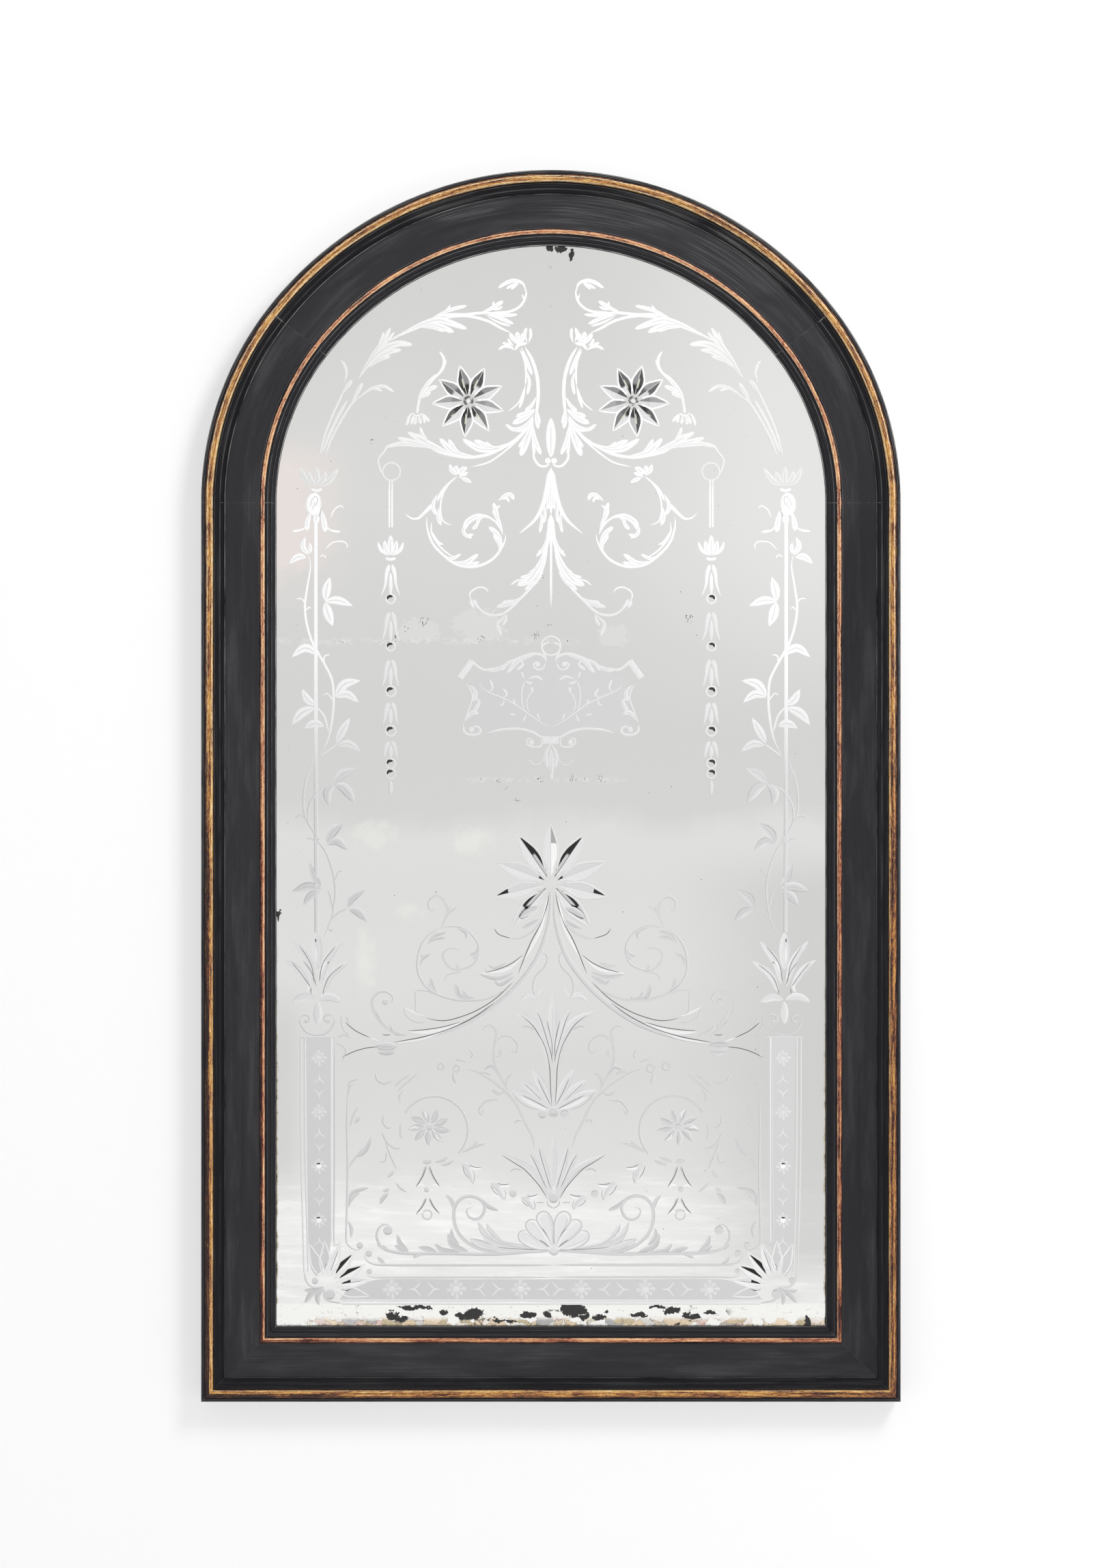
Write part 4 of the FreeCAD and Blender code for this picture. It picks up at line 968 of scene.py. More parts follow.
def ring(centre, radius, width, first=0.0, last=2 * math.pi, tone=PLAIN_FROST):
    """A bar bent round a circle, from one turn to another."""
    turn = np.linspace(first, last, 16)
    points = np.column_stack([centre[0] + radius * np.cos(turn), centre[1] + radius * np.sin(turn)])
    return stroke("bar", width, points, tone)


def bead(centre, radius, tone=PLAIN_FROST):
    """A round dome."""
    return stroke("dome", 2 * radius, [(centre[0] - radius, centre[1]), (centre[0] + radius, centre[1])], tone, True)


# The etched design, left half, in pixels of the photograph: kind of bar, then (width, points) rows.

ARCH_SCROLL = {
    "faint": [
        (4, [(466, 667), (474, 635), (485, 607), (496, 583), (504, 565)]),
        (4, [(474, 666), (484, 640), (499, 612), (513, 590), (526, 578)]),
        (5, [(470, 662), (481, 634), (495, 605), (508, 583)])],
    "lobe": [
        (6, [(503, 559), (506, 543), (503, 532), (498, 525)]), (8, [(499, 576), (506, 565), (515, 554)]),
        (8, [(513, 590), (521, 574), (530, 558)]),
        (7, [(521, 583), (539, 569), (552, 564), (563, 564), (576, 572)]),
        (5, [(542, 567), (552, 568), (559, 571)]), (10, [(523, 553), (542, 523), (559, 499), (571, 477)]),
        (6, [(542, 523), (555, 501), (561, 483)]), (6, [(550, 512), (566, 497), (577, 483)]),
        (13, [(526, 550), (542, 526), (561, 509), (581, 501), (603, 502)]),
        (10, [(539, 534), (557, 519), (572, 512), (587, 510)]), (8, [(539, 536), (553, 525), (571, 519)]),
        (13, [(574, 494), (597, 482), (619, 472), (640, 466), (658, 470), (683, 479)]),
        (12, [(610, 477), (630, 473), (647, 477), (664, 484)]), (8, [(616, 477), (634, 477), (650, 483)]),
        (8, [(633, 462), (651, 454), (666, 449), (683, 445)]), (5, [(644, 458), (654, 451), (659, 444)]),
        (5, [(651, 455), (661, 450), (666, 446)]), (9, [(704, 455), (719, 449), (737, 438)]),
        (5, [(710, 454), (721, 448), (722, 438)]), (5, [(717, 450), (728, 450), (736, 446)]),
        (8, [(770, 426), (766, 413), (754, 408), (742, 411), (729, 419)]),
        (6, [(761, 410), (750, 415), (741, 420)]), (5, [(759, 413), (753, 417), (748, 421)]),
        (4, [(761, 446), (767, 437), (764, 428)]), (7, [(710, 456), (739, 459), (758, 458)]),
        (8, [(710, 458), (731, 463), (752, 472)]), (5, [(713, 461), (731, 470), (748, 475)])],
    "stem": [
        (4, [(568, 497), (590, 485), (610, 474), (640, 461)]),
        (4.5, [(636, 461), (658, 458), (680, 458), (700, 456), (722, 455)]),
        (4.5, [(640, 465), (662, 461), (680, 460), (699, 463), (717, 469), (733, 478), (748, 485)]),
        (4, [(713, 456), (731, 455), (744, 454), (757, 449), (766, 440), (770, 429), (770, 420)])],
}
STAR_SCROLL = {
    "stem": [
        (5.5, [(768, 505), (779, 525), (786, 548), (788, 570), (787, 590), (785, 607)]),
        (3.5, [(761, 509), (768, 526), (770, 545), (769, 563)]),
        (2.5, [(769, 563), (764, 577), (757, 590), (744, 600)]),
        (5, [(779, 612), (766, 631), (752, 644), (733, 655), (713, 664), (686, 668), (662, 665), (640, 660), (629, 654)]),
        (3, [(775, 623), (757, 643), (731, 665), (713, 676), (689, 682)]),
        (3, [(579, 647), (566, 653), (561, 660), (553, 671), (555, 684), (560, 695)])],
    "lobe": [
        (8, [(763, 506), (770, 523), (779, 547)]), (7, [(770, 539), (775, 556), (772, 576)]),
        (6, [(769, 561), (766, 578), (760, 596)]), (8, [(785, 579), (778, 592), (768, 600)]),
        (11, [(784, 597), (770, 604), (755, 608)]), (12, [(783, 600), (766, 611), (750, 618)]),
        (8, [(782, 605), (768, 622), (752, 627), (740, 619)]), (9, [(781, 609), (770, 623), (756, 630)]),
        (14, [(781, 611), (772, 640), (762, 666)]), (10, [(779, 622), (768, 643), (759, 653)]),
        (10, [(779, 616), (783, 642), (792, 664)]), (7, [(779, 633), (781, 651), (782, 665)]),
        (9, [(786, 592), (786, 612), (788, 626)]), (6, [(787, 600), (789, 612), (791, 618)]),
        (13, [(757, 643), (728, 655), (704, 656), (689, 649), (677, 641)]),
        (10, [(735, 654), (713, 653), (704, 647), (693, 643)]), (8, [(742, 652), (722, 654), (710, 645)]),
        (12, [(695, 667), (667, 662), (655, 653), (643, 640)]), (9, [(682, 666), (667, 658), (656, 641)]),
        (12, [(665, 665), (638, 653), (616, 642), (596, 631)]),
        (11, [(650, 660), (625, 651), (601, 645), (581, 639)]),
        (9, [(640, 654), (616, 651), (586, 648), (563, 653)]), (7, [(630, 651), (619, 636), (614, 623)]),
        (8, [(634, 653), (619, 642), (608, 633)]), (9, [(611, 601), (614, 579), (625, 561), (640, 545)]),
        (8, [(614, 581), (623, 576), (630, 572)]), (9, [(616, 576), (630, 567), (640, 563)]),
        (6, [(635, 551), (647, 537), (649, 523), (643, 512)]), (5, [(635, 554), (647, 539), (653, 524)])],
    "horn": [
        (5, [(610, 604), (612, 587), (616, 574)])],
}
CALYX = {
    "lobe": [
        (6, [(755, 511), (746, 506), (737, 505), (729, 510)]), (6, [(753, 509), (744, 503), (735, 499)]),
        (6, [(752, 504), (746, 499), (744, 493)]), (7, [(772, 499), (768, 488), (771, 477)]),
        (6, [(774, 500), (777, 488), (776, 477)]), (9, [(761, 503), (752, 495), (746, 485)]),
        (10, [(762, 502), (758, 492), (757, 483)]), (9, [(764, 501), (765, 492), (765, 485)])],
    "stem": [
        (5, [(754, 510), (759, 503), (772, 500)])],
}
POT = {
    "lobe": [
        (6, [(606, 602), (599, 607), (594, 622)]), (6, [(607, 604), (603, 612), (601, 620)]),
        (7, [(609, 606), (607, 614), (607, 620)]), (7, [(613, 606), (614, 614), (615, 619)]),
        (6, [(617, 603), (623, 609), (628, 616)]), (6, [(616, 605), (620, 611), (621, 618)])],
    "stem": [
        (3, [(603, 604), (610, 607), (618, 603)])],
}
SECOND_SCROLL = {
    "stem": [
        (3, [(670, 695), (656, 708), (647, 724), (644, 742), (646, 757), (651, 764), (662, 768)]),
        (4.5, [(624, 755), (625, 773), (633, 795), (651, 814), (667, 825), (686, 829), (702, 827), (719, 819), (731, 806), (739, 790), (740, 780)]),
        (3.5, [(736, 780), (728, 766), (717, 757), (706, 753), (695, 756)]),
        (3, [(631, 762), (631, 779), (640, 795), (653, 808), (667, 816)])],
    "lobe": [
        (6, [(667, 696), (651, 712), (643, 724), (640, 733)]), (9, [(640, 722), (633, 739), (638, 753)]),
        (9, [(642, 742), (641, 755), (645, 768)]), (12, [(719, 757), (700, 754), (684, 763), (679, 775)]),
        (8, [(688, 762), (678, 773), (682, 783), (693, 781)]), (6, [(678, 770), (679, 781), (691, 787)]),
        (8, [(708, 754), (700, 760), (700, 766)]), (8, [(700, 759), (697, 768), (691, 774)]),
        (10, [(735, 799), (731, 786), (724, 777), (715, 770)]), (9, [(730, 806), (731, 795), (722, 781)]),
        (8, [(736, 782), (730, 762), (721, 745)]), (9, [(732, 770), (726, 748), (722, 734)]),
        (5, [(731, 762), (727, 744), (733, 738)]), (9, [(729, 732), (739, 724), (748, 723), (752, 731)]),
        (6, [(735, 730), (742, 728), (745, 734)]), (10, [(656, 821), (680, 823), (700, 810)]),
        (8, [(662, 824), (684, 826), (702, 822)]), (7, [(640, 805), (658, 817), (675, 810)]),
        (6, [(629, 773), (640, 792), (649, 796)])],
    "horn": [
        (7, [(634, 736), (619, 751), (610, 758), (600, 757), (592, 750)])],
    "leaf": [
        (8, [(669, 694), (661, 687), (658, 678)]), (8, [(670, 693), (667, 684), (669, 680)]),
        (9, [(671, 693), (677, 686), (684, 683)]), (6, [(673, 695), (679, 693), (685, 690)]),
        (7, [(674, 698), (682, 701), (690, 705)])],
    "bar": [
        (3, [(667, 691), (673, 691), (673, 698)])],
}
PENDANT = {
    "stem": [
        (4, [(781, 658), (782, 670), (790, 680), (799, 681), (805, 677)]),
        (2.5, [(806, 755), (806, 799), (806, 843), (806, 889)]),
        (4, [(803, 792), (795, 830), (779, 857), (759, 878), (741, 895), (726, 900), (711, 898), (699, 888), (690, 876)]),
        (3, [(690, 880), (687, 870), (692, 863), (701, 859), (711, 861), (715, 868)])],
    "horn": [
        (11, [(807, 683), (804, 702), (798, 728), (792, 745), (781, 762), (760, 780)]),
        (9, [(807, 751), (804, 777), (798, 805), (786, 828), (774, 837)])],
    "lobe": [
        (8, [(802, 715), (804, 730), (801, 745)]), (7, [(796, 733), (798, 750), (796, 765)]),
        (7, [(792, 746), (793, 762), (790, 779)]), (7, [(803, 777), (797, 799), (785, 814)]),
        (5, [(803, 786), (796, 803), (787, 806)]), (15, [(800, 803), (788, 830), (774, 848), (757, 856)]),
        (8, [(792, 821), (777, 840), (761, 845)]), (4, [(772, 847), (757, 849), (747, 856)]),
        (9, [(796, 836), (785, 850), (768, 863)]), (9, [(766, 872), (748, 882), (726, 888)]),
        (6, [(757, 877), (744, 880), (734, 881)]), (7, [(742, 898), (733, 907), (728, 914), (734, 931)]),
        (6, [(742, 898), (740, 907), (735, 916)]), (6, [(706, 896), (697, 885), (694, 876)]),
        (6, [(695, 887), (688, 878), (693, 890)])],
    "bead": [
        (4.5, [(802, 673)])],
}
FLEUR = {"leaf": [(15, [(806.7, 668), (806.7, 640), (806.7, 610)]), (7, [(806.7, 700), (806.7, 725), (806.7, 752)])]}


def drop_strokes():
    """The hanging string of bellflowers: a ring, two lines, a flower, then five bells with beads between."""
    middle = 571
    made = [ring((572, 689), 13, 3, tone=-0.2)]
    made += [stroke("bar", 3, [(middle + off, 702), (middle + off, 771)], straight=True) for off in (-2, 2)]
    tips = ((0, 782, 10), (-9, 790, 8), (9, 790, 8), (-19, 792, 6), (19, 792, 6))
    made += [stroke("leaf", w, [(middle + 0.2 * off, 812), (middle + 0.75 * off, 804), (middle + off, top)])
             for off, top, w in tips]
    made.append(stroke("stem", 5, [(middle - 8, 816), (middle, 818), (middle + 8, 816)]))
    for top, foot, spread in ((825, 872, 14), (895, 938, 13), (965, 1005, 12), (1028, 1061, 11), (1085, 1110, 10)):
        run = foot - top
        for side in (-1, 1):
            legs = [(middle + side * 2, top), (middle + side * 6, top + 0.3 * run),
                    (middle + side * 8, top + 0.65 * run), (middle + side * spread, foot)]
            made.append(stroke("horn", 7, legs))
        made.append(stroke("leaf", 6, [(middle, top + 0.25 * run), (middle, top + 0.6 * run), (middle, foot)]))
    for row, radius in ((876, 6.7), (946, 6.5), (1012, 7.5), (1070, 7.5), (1118, 7.0), (1133, 7.0)):
        made.append(ring((middle, row), radius, 3))
        made.append(stroke("leaf", 5, [(middle - 5, row + 1), (middle - 3, row - 4), (middle + 4, row - 4)], DARK_CUT))
    made.append(stroke("leaf", 6, [(middle, 1142), (middle, 1152), (middle, 1164)], straight=True))
    return made


VINE_COLUMN = {
    "grey": [
        (1.6, [(459, 742), (463, 735), (464, 728), (460, 725), (457, 729), (458, 734)]),
        (1.4, [(455, 746), (459, 738), (460, 731)]), (1.3, [(452, 741), (455, 733), (456, 727)]),
        (1.3, [(469, 742), (468, 750), (463, 757)])],
    "bar": [
        (5.8, [(461, 764), (461, 1060), (462, 1366)])],
    "leaf": [
        (9, [(460, 709), (447, 702), (438, 683)]), (9, [(461, 709), (453, 700), (450, 688)]),
        (9, [(462, 709), (463, 698), (462, 682)]), (9, [(463, 709), (472, 700), (476, 688)]),
        (9, [(464, 709), (480, 703), (494, 684)])],
    "stem": [
        (5, [(453, 714), (462, 717), (471, 714)]),
        (4, [(450, 810), (453, 828), (449, 855), (445, 883), (447, 910), (455, 938),
            (464, 955), (476, 976), (485, 996), (487, 1020), (486, 1044), (480, 1079),
            (467, 1108)]), (3, [(480, 1072), (473, 1048), (461, 1034)]),
        (3, [(467, 1108), (478, 1100), (493, 1089)]),
        (3, [(449, 1108), (455, 1108), (455, 1120), (447, 1141), (443, 1172),
            (447, 1199), (466, 1230), (463, 1230), (476, 1248), (486, 1277),
            (490, 1303), (488, 1326), (484, 1347), (472, 1374)]),
        (3, [(488, 1148), (466, 1158), (452, 1179), (450, 1199), (455, 1217)]),
        (2.5, [(483, 757), (488, 745), (498, 739), (502, 744)]),
        (2.5, [(474, 804), (486, 793), (502, 792), (508, 799), (504, 802)]),
        (2.5, [(466, 814), (473, 812), (476, 817)]),
        (2.5, [(445, 883), (440, 876), (431, 876)]),
        (2.5, [(447, 893), (451, 888), (454, 891)]),
        (2.5, [(473, 969), (474, 960), (482, 958)]),
        (2.5, [(486, 1025), (478, 1015), (472, 1018)]),
        (2.5, [(447, 1199), (438, 1194), (431, 1199)]),
        (2.5, [(463, 1236), (454, 1228), (447, 1229)]),
        (2.5, [(489, 1290), (494, 1277), (500, 1276)]),
        (2.5, [(479, 1360), (485, 1364), (484, 1360)]),
        (2.5, [(484, 1347), (494, 1337), (509, 1330)]),
        (2.5, [(479, 1303), (484, 1319), (486, 1332)])],
    "dome": [
        (24, [(461, 720), (461, 754)])],
    "lobe": [
        (11, [(454, 747), (449, 762), (448, 776)]),
        (12, [(469, 745), (473, 762), (475, 778)]),
        (13, [(461, 745), (462, 755), (461, 766)])],
    "grow": [
        (5, [(451, 759), (443, 773), (425, 777)]),
        (5, [(472, 759), (481, 774), (498, 778)])],
    "vine": [
        (9, [(450, 811), (442, 799), (446, 785)]),
        (7, [(451, 810), (453, 802), (452, 793)]),
        (11, [(447, 815), (435, 814), (422, 824)]),
        (14, [(475, 879), (477, 862), (482, 844)]),
        (13, [(475, 880), (493, 878), (515, 886)]),
        (15, [(475, 881), (480, 900), (486, 916)]),
        (13, [(464, 957), (445, 948), (426, 961)]),
        (14, [(490, 1019), (504, 1001), (526, 996)]),
        (12, [(490, 1020), (507, 1016), (524, 1028)]),
        (12, [(461, 1032), (449, 1024), (441, 1009)]),
        (14, [(459, 1036), (440, 1044), (426, 1061)]),
        (12, [(473, 1063), (459, 1059), (444, 1066)]),
        (12, [(491, 1088), (499, 1072), (511, 1051)]),
        (11, [(493, 1091), (510, 1089), (527, 1100)]),
        (14, [(488, 1147), (500, 1134), (520, 1125)]),
        (15, [(490, 1149), (504, 1155), (518, 1175)]),
        (13, [(488, 1150), (478, 1160), (480, 1179)]),
        (15, [(477, 1234), (485, 1219), (501, 1206)]),
        (12, [(478, 1237), (492, 1232), (508, 1245)]),
        (10, [(469, 1299), (459, 1285), (452, 1264)]),
        (14, [(469, 1303), (450, 1299), (427, 1306)]),
        (13, [(467, 1306), (455, 1312), (443, 1326)]),
        (12, [(508, 1329), (515, 1315), (533, 1304)]),
        (12, [(510, 1332), (523, 1336), (537, 1350)])],
}
COLUMN_FOOT = {
    "pale": [
        (16, [(463, 1421), (463, 1389), (463, 1366)]),
        (11, [(459, 1444), (451, 1410), (428, 1379)]),
        (11, [(454, 1451), (437, 1423), (417, 1407)]),
        (9, [(461, 1447), (454, 1423), (443, 1406)]),
        (11, [(468, 1442), (476, 1410), (499, 1379)]),
        (11, [(472, 1455), (484, 1428), (511, 1408)]),
        (12, [(462, 1465), (445, 1461), (426, 1468)]),
        (12, [(465, 1465), (481, 1461), (499, 1468)]),
        (13, [(464, 1468), (464, 1483), (464, 1501)])],
    "plume": [
        (9, [(462, 1415), (462, 1397), (462, 1381)]),
        (9, [(469, 1431), (473, 1415), (482, 1402)]),
        (5, [(447, 1455), (450, 1447), (446, 1442)])],
    "dark": [
        (1.6, [(459, 1443), (454, 1413), (437, 1385)]),
        (1.5, [(462, 1445), (455, 1425), (443, 1408)]),
        (1.6, [(454, 1447), (439, 1426), (425, 1409)]),
        (1.6, [(466, 1439), (472, 1411), (491, 1385)]),
        (1.6, [(472, 1452), (481, 1431), (503, 1412)]),
        (3.4, [(461, 1381), (461, 1378), (461, 1375)]),
        (2.4, [(478, 1412), (479, 1411), (481, 1409)]),
        (1.2, [(454, 1457), (454, 1452), (454, 1447)]),
        (1.2, [(472, 1457), (472, 1453), (473, 1449)])],
    "stem": [
        (3, [(439, 1490), (438, 1498), (447, 1512), (463, 1517), (479, 1512),
            (488, 1498), (486, 1490)]),
        (3, [(439, 1490), (446, 1487), (452, 1491), (450, 1498), (445, 1498)]),
        (3, [(486, 1490), (480, 1487), (474, 1491), (476, 1498), (482, 1498)])],
    "bead": [
        (3.4, [(447, 1496)]), (3.4, [(479, 1496)])],
}


CARTOUCHE = {
    "stem": [
        (3, [(801, 965), (795, 954), (794, 945), (805, 939)]),
        (4, [(798, 970), (799, 964), (791, 958), (778, 957), (762, 962), (744, 970)]),
        (3, [(798, 970), (795, 978), (787, 980), (781, 975), (782, 970), (788, 968)]),
        (4, [(691, 966), (697, 974), (707, 980), (715, 980), (723, 977)]),
        (2.5, [(682, 1000), (689, 1011), (691, 1023), (685, 1041), (678, 1060)]),
        (4, [(678, 1060), (679, 1071), (689, 1076), (701, 1074), (703, 1068),
            (697, 1063), (691, 1065)]),
        (4, [(713, 1073), (734, 1068), (760, 1067), (780, 1072), (793, 1079), (806.7, 1078)]),
        (3, [(793, 1079), (792, 1092), (782, 1094), (772, 1090), (772, 1082),
            (780, 1081)]),
        (2, [(701, 997), (705, 1006), (715, 1013), (734, 1021), (754, 1031),
            (772, 1044), (789, 1056), (803, 1063), (806.7, 1065)]),
        (2, [(768, 1041), (764, 1027), (764, 1011), (768, 996)]),
        (2, [(774, 1043), (771, 1031), (773, 1021), (778, 1013)]),
        (2, [(770, 1113), (776, 1114), (782, 1120), (791, 1118), (799, 1105)])],
    "bar": [
        (9, [(691, 967), (682, 980), (673, 992)]),
        (10, [(795, 1084), (803, 1084), (806.7, 1084)])],
    "bead": [
        (4, [(787, 972)]), (4, [(690, 1068)]), (4, [(778, 1087)])],
    "lobe": [
        (9, [(782, 959), (760, 966), (742, 985)]),
        (7, [(766, 962), (744, 970), (734, 982)]),
        (8, [(744, 970), (731, 978), (715, 982)]),
        (6, [(760, 966), (766, 972), (756, 981)]),
        (8, [(687, 1002), (696, 1013), (694, 1027)]),
        (8, [(691, 1021), (701, 1027), (693, 1043)]),
        (9, [(682, 1054), (691, 1043), (701, 1045)]),
        (8, [(806.7, 1088), (799, 1105), (801, 1125)]),
        (8, [(806.7, 1096), (805, 1115), (808, 1143)]),
        (5, [(715, 1013), (721, 1007), (717, 994)]),
        (5, [(734, 1021), (742, 1017), (736, 1007)]),
        (5, [(772, 994), (785, 990), (795, 996)]),
        (5, [(768, 996), (776, 1000), (780, 999)]),
        (4, [(768, 994), (765, 988), (764, 983)]),
        (4, [(738, 1023), (736, 1031), (731, 1032)]),
        (4, [(791, 1055), (788, 1049), (787, 1044)]),
        (4, [(770, 1045), (768, 1051), (766, 1057)]),
        (4, [(756, 1032), (752, 1027), (753, 1023)]),
        (5, [(776, 1015), (779, 1011), (778, 1005)]),
        (4, [(756, 1048), (752, 1046), (746, 1046)])],
}
CARTOUCHE_TOP = [(696, 986), (720, 985), (750, 975), (780, 965), (806.7, 962)]
CARTOUCHE_FOOT = [(690, 1066), (715, 1070), (750, 1066), (780, 1074), (806.7, 1086)]
SWAG = {
    "dark": [
        (1.8, [(805, 1306), (801, 1326), (792, 1353), (777, 1381), (758, 1428)]),
        (1.6, [(766, 1399), (750, 1411), (730, 1420), (707, 1426)]),
        (1.7, [(752, 1438), (727, 1462), (701, 1479), (675, 1490), (648, 1496),
            (622, 1492)]), (1.6, [(595, 1511), (622, 1509), (648, 1505), (673, 1498)]),
        (1.9, [(724, 1469), (696, 1489), (662, 1506), (622, 1519), (574, 1528)]),
        (1.6, [(504, 1498), (520, 1511), (541, 1521)]),
        (1.6, [(499, 1550), (518, 1541), (536, 1536), (554, 1534)]),
        (1.5, [(723, 1360), (730, 1369), (748, 1375)]), (1.4, [(559, 1516), (571, 1516)])],
    "plume": [
        (7, [(801, 1316), (792, 1358), (777, 1389), (766, 1408)]),
        (6, [(765, 1402), (740, 1421), (701, 1427)]),
        (4, [(622, 1490), (607, 1485), (590, 1476)]),
        (8, [(595, 1512), (630, 1513), (675, 1500)]),
        (5, [(580, 1529), (617, 1523), (656, 1510)]),
        (3, [(541, 1521), (548, 1524), (555, 1526)])],
    "stem": [
        (7, [(807, 1306), (804, 1350), (790, 1397), (764, 1436), (728, 1471),
            (684, 1500), (635, 1518), (588, 1530)]),
        (3, [(748, 1375), (761, 1374), (777, 1366), (794, 1347)]),
        (3.5, [(580, 1518), (558, 1500), (546, 1481), (544, 1465), (554, 1454),
            (567, 1454), (575, 1463), (570, 1471)]),
        (2.5, [(550, 1481), (557, 1495), (569, 1508)]),
        (2, [(498, 1489), (501, 1507), (511, 1519)]),
        (2, [(507, 1489), (508, 1495), (511, 1501)]),
        (2, [(490, 1528), (505, 1538), (500, 1557)]),
        (2, [(492, 1520), (505, 1517), (512, 1523)]),
        (2, [(590, 1476), (595, 1489), (609, 1498), (622, 1498)]),
        (2, [(607, 1451), (608, 1468), (609, 1483), (622, 1491)])],
    "leaf": [
        (7, [(701, 1427), (727, 1433), (752, 1425)]),
        (7, [(724, 1436), (732, 1442), (752, 1430)]),
        (6, [(714, 1414), (724, 1417), (740, 1411)]),
        (10, [(792, 1330), (777, 1334), (761, 1345)]),
        (7, [(790, 1347), (777, 1355), (765, 1360)]),
        (6, [(570, 1502), (578, 1513), (595, 1517)]),
        (14, [(549, 1533), (565, 1534), (580, 1534)]),
        (8, [(552, 1542), (565, 1543), (578, 1542)])],
    "bead": [
        (4.5, [(563, 1468)])],
}
C_SCROLL = {
    "stem": [
        (3.5, [(646, 1358), (630, 1368), (617, 1384), (611, 1405), (612, 1426),
            (622, 1444), (638, 1456), (662, 1464), (682, 1466), (709, 1464),
            (735, 1453), (750, 1442)]),
        (3.2, [(643, 1360), (667, 1357), (685, 1364), (698, 1379), (701, 1394),
            (696, 1410), (682, 1419), (664, 1421), (651, 1410), (648, 1397),
            (659, 1389), (675, 1392)]),
        (3.5, [(645, 1360), (652, 1342), (654, 1329), (647, 1317), (638, 1313),
            (628, 1320), (628, 1330), (633, 1334), (637, 1330)]),
        (2, [(607, 1451), (625, 1452), (635, 1457)]),
        (2, [(651, 1438), (655, 1428), (675, 1424)])],
    "lobe": [
        (6, [(650, 1350), (656, 1337), (668, 1328)]),
        (5, [(650, 1347), (654, 1334), (659, 1327)]),
        (7, [(614, 1415), (618, 1404), (629, 1397)]),
        (8, [(625, 1384), (635, 1371), (653, 1365)]),
        (7, [(628, 1381), (638, 1375), (652, 1373)]),
        (7, [(669, 1360), (682, 1366), (683, 1376)]),
        (7, [(700, 1387), (697, 1397), (687, 1400)]),
        (6, [(700, 1394), (696, 1402), (692, 1405)]),
        (7, [(639, 1455), (633, 1447), (629, 1433)]),
        (6, [(637, 1452), (631, 1447), (625, 1442)]),
        (10, [(693, 1466), (672, 1460), (666, 1443)]),
        (7, [(696, 1464), (682, 1461), (677, 1452)]),
        (6, [(672, 1421), (669, 1417), (669, 1413)])],
}
